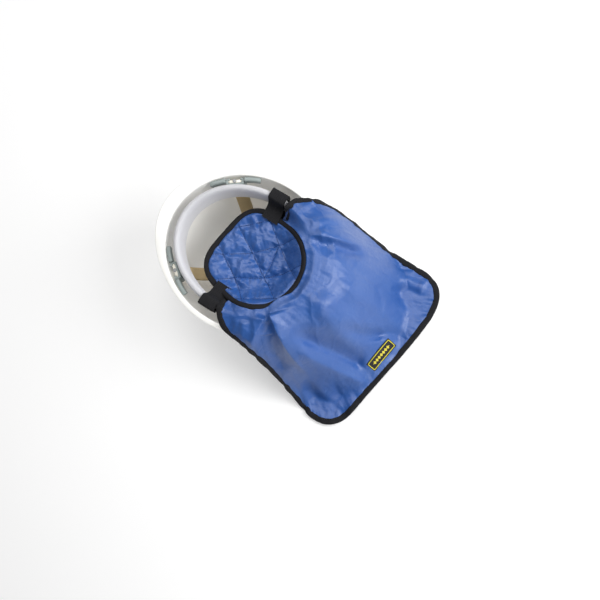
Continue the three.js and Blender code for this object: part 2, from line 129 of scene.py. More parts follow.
def curve_through(points: list[tuple[float, ...]], count: int) -> np.ndarray:
    """A smooth curve through a few places, evenly spaced along its length.

    Args:
        points: The places it goes through.
        count: How many points the curve has.

    Returns:
        The curve's points.
    """
    knots = np.array(points, float)
    ends = np.vstack([2 * knots[0] - knots[1], knots, 2 * knots[-1] - knots[-2]])
    pieces = []
    for i in range(1, len(ends) - 2):
        t = np.linspace(0, 1, 40, endpoint=False)[:, None]
        a, b, c, d = ends[i - 1], ends[i], ends[i + 1], ends[i + 2]
        pieces.append(
            0.5 * (2 * b + (c - a) * t + (2 * a - 5 * b + 4 * c - d) * t**2 + (3 * b - a - 3 * c + d) * t**3)
        )
    pieces.append(knots[-1:])
    return even(np.vstack(pieces), count)


def even(path: np.ndarray, count: int) -> np.ndarray:
    """The same path with evenly spaced points.

    Args:
        path: Points along the path.
        count: How many points to give back.

    Returns:
        The evenly spaced points.
    """
    run = run_along(path)
    places = np.linspace(0, run[-1], count)
    return np.stack([np.interp(places, run, path[:, k]) for k in range(path.shape[1])], axis=1)


class Grain:
    """Seeded soft noise over a plane, from -1 to 1."""

    def __init__(self, seed: int) -> None:
        """Makes the lattice of values from a seed."""
        self.lattice = np.random.default_rng(seed).uniform(-1, 1, (128, 128))

    def at(self, x: np.ndarray, y: np.ndarray) -> np.ndarray:
        """The noise at places of the plane.

        Args:
            x: First coordinates, one unit a lattice step.
            y: Second coordinates.

        Returns:
            The values at those places.
        """
        column, row = np.floor(x).astype(int), np.floor(y).astype(int)
        u, v = smooth(x - column), smooth(y - row)
        near = lerp(self.knot(column, row), self.knot(column + 1, row), u)
        far = lerp(self.knot(column, row + 1), self.knot(column + 1, row + 1), u)
        return lerp(near, far, v)

    def knot(self, column: np.ndarray, row: np.ndarray) -> np.ndarray:
        """The lattice's values at whole columns and rows, which repeat past its edge."""
        columns, rows = self.lattice.shape
        return self.lattice[column % columns, row % rows]

    def rough(self, x: np.ndarray, y: np.ndarray, octaves: int = 3) -> np.ndarray:
        """Noise with finer and finer detail added.

        Args:
            x: First coordinates.
            y: Second coordinates.
            octaves: How many sizes of detail.

        Returns:
            The summed values.
        """
        total = np.zeros(np.shape(x))
        for i in range(octaves):
            total = total + self.at(x * 2**i + 17.3 * i, y * 2**i + 9.1 * i) / 2**i
        return total


def off_line(x: np.ndarray, y: np.ndarray, line: np.ndarray) -> tuple[np.ndarray, np.ndarray, np.ndarray]:
    """How far places lie from a line drawn on the cloth.

    Args:
        x: First coordinates of the places.
        y: Second coordinates.
        line: The line's points.

    Returns:
        The distance, the signed distance (left of the line is positive) and the share along it.
    """
    best = np.full(np.shape(x), 1e9)
    signed = np.zeros(np.shape(x))
    along = np.zeros(np.shape(x))
    run = run_along(line)
    for i in range(len(line) - 1):
        a, way = line[i], line[i + 1] - line[i]
        share = np.clip(((x - a[0]) * way[0] + (y - a[1]) * way[1]) / max(way @ way, 1e-9), 0, 1)
        dx, dy = x - a[0] - share * way[0], y - a[1] - share * way[1]
        distance = np.hypot(dx, dy)
        nearer = distance < best
        best = np.where(nearer, distance, best)
        signed = np.where(nearer, np.sign(way[0] * dy - way[1] * dx) * distance, signed)
        along = np.where(nearer, lerp(run[i], run[i + 1], share) / run[-1], along)
    return best, signed, along


# ---- shader maths ----


class Wire:
    """A value in a node tree; Python's operators on it add Math nodes."""

    def __init__(self, graph: "Graph", socket: bpy.types.NodeSocket) -> None:
        """Wraps an output socket of a graph."""
        self.graph = graph
        self.socket = socket

    def __add__(self, other: "Wire | float") -> "Wire":
        """The sum."""
        return self.graph.value("ADD", self, other)

    __radd__ = __add__

    def __mul__(self, other: "Wire | float") -> "Wire":
        """The product."""
        return self.graph.value("MULTIPLY", self, other)

    __rmul__ = __mul__

    def __sub__(self, other: "Wire | float") -> "Wire":
        """The difference."""
        return self.graph.value("SUBTRACT", self, other)

    def __rsub__(self, other: "Wire | float") -> "Wire":
        """The difference, taken from a number."""
        return self.graph.value("SUBTRACT", other, self)

    def __truediv__(self, other: "Wire | float") -> "Wire":
        """The quotient."""
        return self.graph.value("DIVIDE", self, other)

    def __gt__(self, other: "Wire | float") -> "Wire":
        """1 where this is the larger."""
        return self.graph.value("GREATER_THAN", self, other)

    def sine(self) -> "Wire":
        """The sine."""
        return self.graph.value("SINE", self)

    def size(self) -> "Wire":
        """The value without its sign."""
        return self.graph.value("ABSOLUTE", self)

    def part(self) -> "Wire":
        """What is left after the whole number."""
        return self.graph.value("FRACT", self)

    def between(self, low: float, high: float) -> "Wire":
        """A soft step from 0 at low to 1 at high.

        Args:
            low: Where the step begins.
            high: Where it ends.

        Returns:
            The step's value.
        """
        sockets = {0: self, 1: low, 2: high, 3: 0.0, 4: 1.0}
        return self.graph.node("ShaderNodeMapRange", {"interpolation_type": "SMOOTHSTEP"}, sockets)


Feed = Wire | float | tuple


class Graph:
    """One material's node tree, ending in one Principled shader."""

    def __init__(self, name: str) -> None:
        """Makes an empty material.

        Args:
            name: The material's name.
        """
        self.material = bpy.data.materials.new(name)
        self.material.use_nodes = True
        self.tree = self.material.node_tree
        self.tree.nodes.clear()

    def node(
        self, kind: str, settings: dict[str, object], sockets: dict[int | str, Feed], out: int = 0
    ) -> Wire:
        """Adds a node.

        Args:
            kind: The node's type.
            settings: Its settings, set before its sockets; stops are a ramp's places and colours.
            sockets: A value or a wire for each socket.
            out: Which output to give back.

        Returns:
            That output.
        """
        made = self.tree.nodes.new(kind)
        for name, value in settings.items():
            if name == "stops":
                for i, (place, colour) in enumerate(value):
                    stop = made.color_ramp.elements[i] if i < 2 else made.color_ramp.elements.new(place)
                    stop.position, stop.color = place, (*colour, 1)
            else:
                setattr(made, name, value)
        for name, feed in sockets.items():
            if isinstance(feed, Wire):
                self.tree.links.new(feed.socket, made.inputs[name])
            elif isinstance(feed, tuple) and made.inputs[name].type == "RGBA":
                made.inputs[name].default_value = (*feed, 1)
            else:
                made.inputs[name].default_value = feed
        return Wire(self, made.outputs[out]) if len(made.outputs) else made

    def value(self, operation: str, *feeds: Feed) -> Wire:
        """Adds a Math node.

        Args:
            operation: What it does.
            feeds: The one or two values that it works on.

        Returns:
            Its result.
        """
        return self.node("ShaderNodeMath", {"operation": operation}, dict(enumerate(feeds)))

    def mix(self, share: Feed, first: Feed, second: Feed) -> Wire:
        """A colour between two colours.

        Args:
            share: How much of the second.
            first: The first colour.
            second: The second colour.

        Returns:
            The mixed colour.
        """
        return self.node("ShaderNodeMix", {"data_type": "RGBA"}, {0: share, 6: first, 7: second}, 2)

    def noise(self, place: Wire, scale: float, detail: float = 3, twist: float = 0) -> Wire:
        """Noise at a place.

        Args:
            place: Where, as a vector.
            scale: How many bumps a metre.
            detail: How much finer detail is added.
            twist: How far the noise is distorted.

        Returns:
            The noise, from 0 to 1.
        """
        sockets = {"Vector": place, "Scale": scale, "Detail": detail, "Distortion": twist}
        return self.node("ShaderNodeTexNoise", {}, sockets)

    def cells(self, place: Wire, scale: float) -> Wire:
        """The distance to the nearest of many scattered points.

        Args:
            place: Where, as a vector.
            scale: How many points a metre.

        Returns:
            The distance, as a share of the points' spacing.
        """
        return self.node("ShaderNodeTexVoronoi", {}, {"Vector": place, "Scale": scale})

    def stretched(self, place: Wire, by: tuple[float, float, float]) -> Wire:
        """A place with each axis multiplied."""
        return self.node("ShaderNodeVectorMath", {"operation": "MULTIPLY"}, {0: place, 1: by})

    def cloth_place(self) -> Wire:
        """The place on the cut cloth, in metres."""
        return self.node("ShaderNodeUVMap", {"uv_map": "cut"}, {})

    def solid_place(self) -> Wire:
        """The place in a rigid piece, in metres."""
        return self.node("ShaderNodeTexCoord", {}, {}, 3)

    def split(self, place: Wire) -> tuple[Wire, Wire]:
        """The first and second coordinates of a place."""
        first = self.node("ShaderNodeSeparateXYZ", {}, {0: place})
        return first, Wire(self, first.socket.node.outputs[1])

    def bump(self, height: Wire, depth: float, under: Wire | None = None) -> Wire:
        """The normal of a surface raised by a height.

        Args:
            height: The height, from 0 to 1.
            depth: How many metres a height of 1 is.
            under: A normal that this one is added to.

        Returns:
            The new normal.
        """
        sockets: dict[int | str, Feed] = {"Height": height, "Distance": depth, "Strength": 1.0}
        if under is not None:
            sockets["Normal"] = under
        return self.node("ShaderNodeBump", {}, sockets)

    def finish(self, sockets: dict[int | str, Feed]) -> bpy.types.Material:
        """Ends the tree in a Principled shader.

        Args:
            sockets: A value or a wire for each of the shader's sockets.

        Returns:
            The material.
        """
        shader = self.node("ShaderNodeBsdfPrincipled", {}, sockets)
        self.node("ShaderNodeOutputMaterial", {}, {"Surface": shader})
        return self.material


# ---- finishes ----


@dataclass(frozen=True)
class Nylon:
    """Coated nylon taffeta with a soft satin gloss."""

    name: str
    light: tuple[float, float, float]
    deep: tuple[float, float, float]
    gloss: float = 0.4
    crush: float = 0.001

    def make(self) -> bpy.types.Material:
        """Builds the material.

        Returns:
            The material.
        """
        graph = Graph(self.name)
        place = graph.cloth_place()
        across, along = graph.split(place)
        weave = (across * 9000.0).sine() * (along * 9000.0).sine() * 0.5 + 0.5
        slub = graph.noise(graph.stretched(place, (1.0, 0.12, 1.0)), 900, 2)
        dye = graph.noise(place, 22, 4)
        crumple = graph.noise(place, 75, 3, 0.6)
        rub = graph.noise(place, 160, 4, 0.3)
        colour = graph.mix(dye * 0.55 + weave * 0.2 + slub * 0.15, self.deep, self.light)
        rough = self.gloss + (rub - 0.5) * 0.16 + weave * 0.05
        crushed = graph.bump(crumple, self.crush)
        return graph.finish(
            {
                "Base Color": colour,
                "Roughness": rough,
                "Normal": graph.bump(weave * 0.7 + slub * 0.3, 0.00004, crushed),
                "Specular IOR Level": 0.65,
                "Coat Weight": 0.12,
                "Coat Roughness": 0.5,
            }
        )


@dataclass(frozen=True)
class Webbing:
    """Woven tape with ribs across it and fuzzy floats."""

    name: str
    light: tuple[float, float, float]
    deep: tuple[float, float, float]
    ribs: float = 1.5
    rough: float = 0.78

    def make(self) -> bpy.types.Material:
        """Builds the material.

        Returns:
            The material.
        """
        graph = Graph(self.name)
        place = graph.cloth_place()
        across, along = graph.split(place)
        turns = 2 * math.pi / (self.ribs * MM)
        rib = (along * turns).sine() * 0.5 + 0.5
        floats = ((across * (turns * 1.6)) + (along * (turns * 0.5))).sine() * 0.5 + 0.5
        fuzz = graph.noise(place, 2600, 3)
        wear = graph.noise(place, 120, 3)
        woven = rib * 0.6 + floats * 0.4
        colour = graph.mix(woven * 0.5 + fuzz * 0.3 + wear * 0.2, self.deep, self.light)
        return graph.finish(
            {
                "Base Color": colour,
                "Roughness": self.rough + fuzz * 0.15,
                "Normal": graph.bump(woven + fuzz * 0.35, 0.00022),
                "Specular IOR Level": 0.3,
                "Sheen Weight": 0.12,
                "Sheen Roughness": 0.5,
                "Sheen Tint": self.light,
            }
        )


@dataclass(frozen=True)
class Moulded:
    """Moulded plastic with a fine orange-peel skin, scuffs and worn gloss, plus a painted glow where glow is
    set.
    """

    name: str
    colour: tuple[float, float, float]
    shadow: tuple[float, float, float]
    rough: float = 0.32
    coat: float = 0.15
    skin: float = 0.00003
    # glow: emission in the plastic's own colour, a painted glow that lightens it; half of it also sets real
    # subsurface translucency
    glow: float = 0.0

    def make(self) -> bpy.types.Material:
        """Builds the material.

        Returns:
            The material.
        """
        graph = Graph(self.name)
        place = graph.solid_place()
        cloud = graph.noise(place, 14, 4)
        peel = graph.noise(place, 900, 2)
        scuff = graph.noise(graph.stretched(place, (1.0, 1.0, 0.2)), 220, 5, 0.8)
        worn = scuff.between(0.56, 0.72)
        colour = graph.mix(cloud.between(0.3, 0.75) * 0.6 + worn * 0.25, self.colour, self.shadow)
        return graph.finish(
            {
                "Base Color": colour,
                "Roughness": self.rough + worn * 0.18 + (cloud - 0.5) * 0.08,
                "Normal": graph.bump(peel + worn * 0.3, self.skin),
                "Coat Weight": self.coat,
                "Coat Roughness": 0.25,
                "Subsurface Weight": self.glow * 0.5,
                "Subsurface Radius": (0.01, 0.008, 0.006),
                # Painted glow: the plastic gives off its own colour, lightening it as though it were lit
                "Emission Color": self.colour,
                "Emission Strength": self.glow,
            }
        )


@dataclass(frozen=True)
class Knit:
    """Knitted or brushed fabric: rows of loops and a soft nap."""

    name: str
    light: tuple[float, float, float]
    deep: tuple[float, float, float]
    loop: float = 1.1
    nap: float = 0.4

    def make(self) -> bpy.types.Material:
        """Builds the material.

        Returns:
            The material.
        """
        graph = Graph(self.name)
        place = graph.cloth_place()
        across, along = graph.split(place)
        turns = 2 * math.pi / (self.loop * MM)
        loops = (along * turns + (across * turns).sine() * 0.9).sine() * 0.5 + 0.5
        holes = (across * turns).sine() * (along * turns).sine()
        nap = graph.noise(place, 3200, 2)
        soil = graph.noise(place, 30, 4)
        colour = graph.mix(loops * 0.5 + nap * 0.3 + soil * 0.2, self.deep, self.light)
        return graph.finish(
            {
                "Base Color": colour,
                "Roughness": 0.82 + nap * 0.15,
                "Normal": graph.bump(loops * 0.6 + holes * 0.2 + nap * self.nap, 0.00018),
                "Specular IOR Level": 0.25,
                "Sheen Weight": 0.4,
                "Sheen Roughness": 0.45,
                "Sheen Tint": self.light,
            }
        )


@dataclass(frozen=True)
class HookPile:
    """Hook-and-loop tape: dense short pile in rows."""

    name: str
    light: tuple[float, float, float]
    deep: tuple[float, float, float]

    def make(self) -> bpy.types.Material:
        """Builds the material.

        Returns:
            The material.
        """
        graph = Graph(self.name)
        place = graph.cloth_place()
        pile = 1 - graph.cells(place, 1500).between(0.1, 0.6)
        fuzz = graph.noise(place, 3800, 3)
        colour = graph.mix(pile * 0.5 + fuzz * 0.5, self.deep, self.light)
        return graph.finish(
            {
                "Base Color": colour,
                "Roughness": 0.88 + fuzz * 0.1,
                "Normal": graph.bump(pile * 0.7 + fuzz * 0.3, 0.0004),
                "Specular IOR Level": 0.2,
                "Sheen Weight": 0.35,
                "Sheen Roughness": 0.6,
            }
        )


@dataclass(frozen=True)
class WovenLabel:
    """A black damask label with a row of plain woven lozenges."""

    name: str
    ground: tuple[float, float, float]
    figure: tuple[float, float, float]
    length: float
    width: float

    def make(self) -> bpy.types.Material:
        """Builds the material.

        Returns:
            The material.
        """
        graph = Graph(self.name)
        place = graph.cloth_place()
        across, along = graph.split(place)
        pitch = self.length * MM * 0.098
        beat = ((across / pitch + 0.5).part() - 0.5).size() * 2
        reach = (along / (self.width * MM * 0.2)).size()
        ends = 1 - (across.size() > self.length * MM * 0.36)
        lozenge = (1 - (beat * 0.75 + reach).between(0.72, 0.86)) * ends
        thread = (across * 16000.0).sine() * (along * 16000.0).sine() * 0.5 + 0.5
        colour = graph.mix(lozenge * (0.75 + thread * 0.2), self.ground, self.figure)
        return graph.finish(
            {
                "Base Color": colour,
                "Roughness": 0.6 + thread * 0.15,
                "Normal": graph.bump(lozenge * 0.7 + thread * 0.3, 0.00012),
                "Specular IOR Level": 0.35,
                "Sheen Weight": 0.1,
            }
        )


@dataclass(frozen=True)
class Surround:
    """The plain pale floor."""

    name: str
    shade: float
    glow: float

    def make(self) -> bpy.types.Material:
        """Builds the material.

        Returns:
            The material.
        """
        graph = Graph(self.name)
        grain = graph.noise(graph.solid_place(), 3, 2)
        tone = (self.shade, self.shade, self.shade)
        pale = (self.shade + 0.02, self.shade + 0.02, self.shade + 0.02)
        sockets = {"Base Color": graph.mix(grain, tone, pale), "Roughness": 0.9}
        return graph.finish({**sockets, "Emission Color": (1, 1, 1), "Emission Strength": self.glow})


@dataclass
class Finishes:
    """Every finish of the assembly, built once."""

    nylon: bpy.types.Material = field(init=False)
    lining: bpy.types.Material = field(init=False)
    binding: bpy.types.Material = field(init=False)
    webbing: bpy.types.Material = field(init=False)
    thread: bpy.types.Material = field(init=False)
    blue_thread: bpy.types.Material = field(init=False)
    shell: bpy.types.Material = field(init=False)
    bracket: bpy.types.Material = field(init=False)
    key: bpy.types.Material = field(init=False)
    band: bpy.types.Material = field(init=False)
    brow: bpy.types.Material = field(init=False)
    crown: bpy.types.Material = field(init=False)
    dark: bpy.types.Material = field(init=False)
    pile: bpy.types.Material = field(init=False)
    label: bpy.types.Material = field(init=False)
    yellow: bpy.types.Material = field(init=False)
    rivet: bpy.types.Material = field(init=False)

    def __post_init__(self) -> None:
        """Builds each finish."""
        self.nylon = Nylon("blue_nylon", (0.03, 0.112, 0.36), (0.01, 0.062, 0.27)).make()
        self.lining = Knit("lining_knit", (0.05, 0.085, 0.2), (0.022, 0.04, 0.11)).make()
        self.binding = Webbing("black_binding", (0.014, 0.014, 0.017), (0.004, 0.004, 0.005), 1.1).make()
        self.webbing = Webbing("black_webbing", (0.016, 0.016, 0.019), (0.004, 0.004, 0.005), 2.0).make()
        self.thread = Webbing("black_thread", (0.03, 0.03, 0.034), (0.012, 0.012, 0.014), 0.5, 0.6).make()
        self.blue_thread = Webbing(
            "quilting_thread", (0.03, 0.07, 0.22), (0.012, 0.03, 0.12), ribs=0.5, rough=0.55
        ).make()
        # The shell's glow of 0.12 is a painted glow that lightens the white shell, with a little real
        # translucency from the same number
        self.shell = Moulded(
            "shell_plastic", (0.86, 0.855, 0.83), (0.82, 0.81, 0.775),
            rough=0.3, coat=0.3, skin=0.00002, glow=0.12,
        ).make()
        self.bracket = Moulded(
            "bracket_plastic", (0.29, 0.335, 0.325), (0.23, 0.27, 0.265), rough=0.46, coat=0.05
        ).make()
        self.key = Moulded("key_plastic", (0.87, 0.84, 0.74), (0.8, 0.76, 0.64), 0.38, 0.1).make()
        self.band = Moulded("band_plastic", (0.72, 0.725, 0.745), (0.64, 0.645, 0.67), 0.42, 0.08).make()
        self.brow = Knit("brow_fabric", (0.72, 0.72, 0.745), (0.6, 0.6, 0.63), 0.9, 0.5).make()
        self.crown = Webbing("crown_webbing", (0.76, 0.6, 0.35), (0.58, 0.43, 0.22), 1.8).make()
        self.dark = Moulded("dark_plastic", (0.025, 0.025, 0.028), (0.04, 0.04, 0.045), 0.4, 0.1).make()
        self.pile = HookPile("hook_and_loop_pile", (0.05, 0.05, 0.055), (0.012, 0.012, 0.014)).make()
        self.label = WovenLabel("label_weave", (0.01, 0.01, 0.012), (0.72, 0.62, 0.06), 50, 15).make()
        self.yellow = Webbing("label_yellow", (0.8, 0.72, 0.06), (0.6, 0.52, 0.04), 0.7, 0.6).make()
        self.rivet = Moulded("rivet_grey", (0.33, 0.34, 0.35), (0.26, 0.27, 0.28), 0.35, 0.1).make()


# ---- mesh makers ----


class Shape:
    """A mesh put together from grids of points, in millimetres."""

    def __init__(self, name: str) -> None:
        """Starts an empty mesh.

        Args:
            name: The piece's name.
        """
        self.name = name
        self.points: list[np.ndarray] = []
        self.cuts: list[np.ndarray] = []
        self.faces: list[np.ndarray] = []
        self.face_cuts: list[np.ndarray] = []
        self.kinds: list[np.ndarray] = []
        self.count = 0
        self.cut_count = 0

    def grid(
        self, points: np.ndarray, cut: np.ndarray, kind: int = 0, wrap: tuple[bool, bool] = (False, False),
        flip: bool = False,
    ) -> np.ndarray:
        """Adds a grid of four-sided faces.

        Args:
            points: Rows and columns of places.
            cut: The place of each on the cut cloth, one more row or column where the grid wraps.
            kind: Which finish the faces take.
            wrap: Whether the rows and the columns close on themselves.
            flip: Whether the faces look the other way.

        Returns:
            The vertex numbers of the grid.
        """
        rows, columns = points.shape[:2]
        index = np.arange(rows * columns).reshape(rows, columns) + self.count
        self.points.append(points.reshape(-1, 3))
        self.count += rows * columns
        self.stitch(index, cut, kind, wrap, flip)
        return index

    def stitch(
        self, index: np.ndarray, cut: np.ndarray, kind: int = 0, wrap: tuple[bool, bool] = (False, False),
        flip: bool = False,
    ) -> None:
        """Adds faces over vertices that are already there.

        Args:
            index: Rows and columns of vertex numbers.
            cut: The place of each on the cut cloth.
            kind: Which finish the faces take.
            wrap: Whether the rows and the columns close on themselves.
            flip: Whether the faces look the other way.
        """
        if wrap[0]:
            index = np.vstack([index, index[:1]])
        if wrap[1]:
            index = np.hstack([index, index[:, :1]])
        rows, columns = index.shape
        cut = cut[:rows, :columns]
        marks = np.arange(rows * columns).reshape(rows, columns) + self.cut_count
        self.cuts.append(cut.reshape(-1, 2))
        self.cut_count += rows * columns
        for source, store in ((index, self.faces), (marks, self.face_cuts)):
            corners = [source[:-1, :-1], source[1:, :-1], source[1:, 1:], source[:-1, 1:]]
            if flip:
                corners.reverse()
            store.append(np.stack(corners, axis=-1).reshape(-1, 4))
        self.kinds.append(np.full((rows - 1) * (columns - 1), kind))

    def slab(
        self, top: np.ndarray, thickness: float, cut: np.ndarray, kinds: tuple[int, int] = (0, 0),
        flip: bool = False,
    ) -> None:
        """Adds a closed slab under a surface.

        Args:
            top: Rows and columns of the surface's places.
            thickness: How thick it is, along the surface's normal.
            cut: The place of each on the cut cloth.
            kinds: The finish of the top and of the underside.
            flip: Whether the surface faces the other way.
        """
        normal = surface_normals(top) * (-1 if flip else 1)
        under = top - normal * thickness
        upper = self.grid(top, cut, kinds[0], flip=flip)
        lower = self.grid(under, cut, kinds[1], flip=not flip)
        self.stitch(np.stack([lower[:, 0], upper[:, 0]], axis=1), cut[:, :2], kinds[0], flip=flip)
        self.stitch(np.stack([upper[:, -1], lower[:, -1]], axis=1), cut[:, -2:], kinds[0], flip=flip)
        self.stitch(np.stack([upper[0], lower[0]]), cut[:2], kinds[0], flip=flip)
        self.stitch(np.stack([lower[-1], upper[-1]]), cut[-2:], kinds[0], flip=flip)

    def tube(self, path: np.ndarray, up: np.ndarray, section: np.ndarray, closed: bool) -> None:
        """Adds a closed section drawn along a path.

        Args:
            path: The places it goes through.
            up: Which way the section's second axis points at each.
            section: The section's points, side and up.
            closed: Whether the path closes on itself.
        """
        if closed:
            way = np.roll(path, -1, axis=0) - np.roll(path, 1, axis=0)
        else:
            way = np.gradient(path, axis=0)
        way = unit(way)
        side = unit(np.cross(way, up))
        lift = np.cross(side, way)
        points = (
            path[:, None]
            + side[:, None] * section[None, :, 0:1]
            + lift[:, None] * section[None, :, 1:2]
        )
        run = run_along(np.vstack([path, path[:1]]))
        girth = run_along(np.vstack([section, section[:1]]))
        cut = np.stack(np.meshgrid(run, girth, indexing="ij")[::-1], axis=-1)
        index = self.grid(points, cut, wrap=(closed, True))
        if not closed:
            self.cap(index[0], flip=True)
            self.cap(index[-1])

    def cap(self, row: np.ndarray, flip: bool = False) -> None:
        """Closes the end of a tube.

        Args:
            row: The vertex numbers round its end, an even number of them.
            flip: Whether the end faces the other way.
        """
        half = len(row) // 2
        pair = np.stack([row[: half + 1], np.concatenate([row[:1], row[: half - 1 : -1]])])
        self.stitch(pair, np.ones((2, half + 1, 2)), flip=flip)

    def build(self, finishes: list[bpy.types.Material]) -> bpy.types.Object:
        """Makes the object.

        Args:
            finishes: The finishes that the faces' kinds stand for.

        Returns:
            The object, with smooth faces.
        """
        mesh = bpy.data.meshes.new(self.name)
        faces = np.vstack(self.faces)
        own = faces != np.roll(faces, 1, axis=1)
        cuts = np.vstack(self.cuts)[np.vstack(self.face_cuts)[own]] * MM
        kinds = np.concatenate(self.kinds)
        corners = [
            [corner for corner, is_own in zip(face, kept) if is_own]
            for face, kept in zip(faces.tolist(), own.tolist())
        ]
        mesh.from_pydata((np.vstack(self.points) * MM).tolist(), [], corners)
        layer = mesh.uv_layers.new(name="cut")
        layer.data.foreach_set("uv", cuts.astype(np.float32).ravel())
        mesh.polygons.foreach_set("material_index", kinds.astype(np.int32))
        mesh.polygons.foreach_set("use_smooth", np.ones(len(faces), bool))
        for finish in finishes:
            mesh.materials.append(finish)
        mesh.update()
        made = bpy.data.objects.new(self.name, mesh)
        bpy.context.scene.collection.objects.link(made)
        log.info("%s: %d faces", self.name, len(faces))
        return made


def surface_normals(points: np.ndarray) -> np.ndarray:
    """A unit normal at each of a surface's rows and columns of places."""
    return unit(np.cross(np.gradient(points, axis=0), np.gradient(points, axis=1)))


def run_along(path: np.ndarray) -> np.ndarray:
    """How far along a path each of its points lies."""
    return np.concatenate([[0], np.cumsum(np.linalg.norm(np.diff(path, axis=0), axis=1))])


def flat_oval(width: float, thickness: float, count: int = 16, power: float = 3.2) -> np.ndarray:
    """The section of a folded tape: a flat oval.

    Args:
        width: How wide it is.
        thickness: How thick it is.
        count: How many points it has.
        power: How square its corners are.

    Returns:
        The section's points.
    """
    angle = np.linspace(0, 2 * math.pi, count, endpoint=False)
    cos, sin = np.cos(angle), np.sin(angle)
    reach = (np.abs(cos) ** power + np.abs(sin) ** power) ** (-1 / power)
    return np.stack([width / 2 * reach * cos, thickness / 2 * reach * sin], axis=1)


class Carving:
    """A hard piece put together from rounded blocks and discs, in millimetres."""

    def __init__(self, name: str, place: Matrix) -> None:
        """Starts an empty piece.

        Args:
            name: The piece's name.
            place: Where it stands in the hat.
        """
        self.name = name
        self.place = place
        self.bm = bmesh.new()

    def block(
        self, size: tuple[float, float, float], middle: tuple[float, float, float], round_by: float
    ) -> None:
        """Adds a block with rounded edges.

        Args:
            size: Its three sides.
            middle: Its middle.
            round_by: The radius of its edges.
        """
        stretch = Matrix.Translation(middle) @ Matrix.Diagonal((*size, 1))
        corners = bmesh.ops.create_cube(self.bm, size=1, matrix=stretch)["verts"]
        edges = list({edge for corner in corners for edge in corner.link_edges})
        bmesh.ops.bevel(self.bm, geom=edges, offset=round_by, segments=3, profile=0.5, affect="EDGES")

    def disc(self, radius: float, height: float, matrix: Matrix, round_by: float) -> None:
        """Adds a round boss with a rounded edge.

        Args:
            radius: Its radius.
            height: Its height.
            matrix: Where its middle stands.
            round_by: The radius of its edges.
        """
        made = bmesh.ops.create_cone(
            self.bm, cap_ends=True, segments=40, radius1=radius, radius2=radius, depth=height, matrix=matrix
        )["verts"]
        edges = [
            edge for edge in {link for corner in made for link in corner.link_edges}
            if any(len(face.verts) > 4 for face in edge.link_faces)
        ]
        bmesh.ops.bevel(self.bm, geom=edges, offset=round_by, segments=3, profile=0.5, affect="EDGES")

    def build(self, finish: bpy.types.Material) -> bpy.types.Object:
        """Makes the object.

        Args:
            finish: Its finish.

        Returns:
            The object.
        """
        self.bm.transform(Matrix.Scale(MM, 4) @ Matrix.Rotation(HAT_TURN, 4, "Z") @ self.place)
        mesh = bpy.data.meshes.new(self.name)
        for face in self.bm.faces:
            face.smooth = True
        self.bm.to_mesh(mesh)
        self.bm.free()
        mesh.materials.append(finish)
        mesh.set_sharp_from_angle(angle=math.radians(50))
        made = bpy.data.objects.new(self.name, mesh)
        bpy.context.scene.collection.objects.link(made)
        log.info("%s: %d faces", self.name, len(mesh.polygons))
        return made


def settle(piece: bpy.types.Object, body: Body, slot: str, *nodes: str) -> bpy.types.Object:
    """Gives a piece its body and hides the frame's pieces it stands for.

    Args:
        piece: The piece.
        body: What it moves with.
        slot: A material slot's name; not used.
        nodes: The frame's pieces it replaces.

    Returns:
        The piece.
    """
    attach(piece, body.value)
    if nodes:
        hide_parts(*nodes)
    return piece


# ---- the hat ----


@dataclass
class HatShell:
    """The shell on its crown, its narrow brim and its short visor."""

    half_width: float = 107
    half_length: float = 122
    height: float = 132
    wall: float = 2.5
    flat_angle: float = 16
    fullness: float = 0.8
    brim: float = 5
    visor: float = 12
    visor_rise: float = 0.2

    def profile(self) -> np.ndarray:
        """The half section, from the crown's outside round the brim's lip to the crown's inside.

        Returns:
            For each point: how far from the axis as a share, the reach added, its height and how much
            of the visor it takes.
        """
        flat = math.cos(math.radians(self.flat_angle))
        rows: list[tuple[float, float, float, float]] = [(0.001, 0, 0, 0), (0.2, 0, 0, 0)]
        angles = np.radians(np.linspace(self.flat_angle, 90, 40))
        for angle in angles:
            height = self.height * (flat - math.cos(angle)) / flat
            rows.append((math.sin(angle) ** self.fullness, 0, height, 0))
        top, lip = self.height, self.brim
        below = top - self.wall
        rows[-1] = (1, 0, below - 0.8, 0)
        rows += [(1, 0.35, below - 0.2, 0), (1, 0.9, below, 0.1)]
        rows += [(1, lip - 0.8, below + 0.1, 0.95), (1, lip - 0.15, below + 0.35, 1)]
        rows += [(1, lip, top - self.wall / 2, 1), (1, lip - 0.15, top - 0.35, 1), (1, lip - 0.8, top, 0.95)]
        rows += [(1, 0.4, top, 0.06), (1, -1.2, top - 0.1, 0)]
        rows += [(1, -2.0, top - 0.5, 0), (1, -self.wall, top - 1.4, 0)]
        for angle in angles[::-1][1:]:
            share = math.sin(angle) ** self.fullness
            height = below * (flat - math.cos(angle)) / flat + self.wall
            rows.append((share, -self.wall * share, min(height, top - 1.8), 0))
        rows += [(0.2, -0.5, self.wall, 0), (0.001, 0, self.wall, 0)]
        return np.array(rows)

    def build(self, finishes: Finishes) -> None:
        """Makes the shell.

        Args:
            finishes: The finishes.
        """
        around = np.linspace(0, 2 * math.pi, 224, endpoint=False)
        cos, sin = np.cos(around)[:, None], np.sin(around)[:, None]
        share, reach, height, visor = (column[None, :] for column in self.profile().T)
        front = np.clip(-sin, 0, 1)
        shade = self.visor * smooth((front - 0.35) / 0.65) * visor
        x = (share * self.half_width + reach) * cos
        y = (share * self.half_length + reach + shade) * sin
        rise = self.visor_rise * np.maximum(0, -y - self.half_length) * visor
        points = hat_to_row(np.stack([x, y, height + rise], axis=-1))
        out = share[0] * self.half_width
        run = np.cumsum(np.hypot(np.diff(height[0], prepend=0), np.diff(out, prepend=0)))
        cut = np.stack(np.broadcast_arrays(np.linspace(0, 720, 225)[:, None], run[None, :]), axis=-1)
        shape = Shape("shell_body")
        shape.grid(points, cut, wrap=(True, False))
        settle(shape.build([finishes.shell]), Body.HAT, "shell_plastic", "shell")


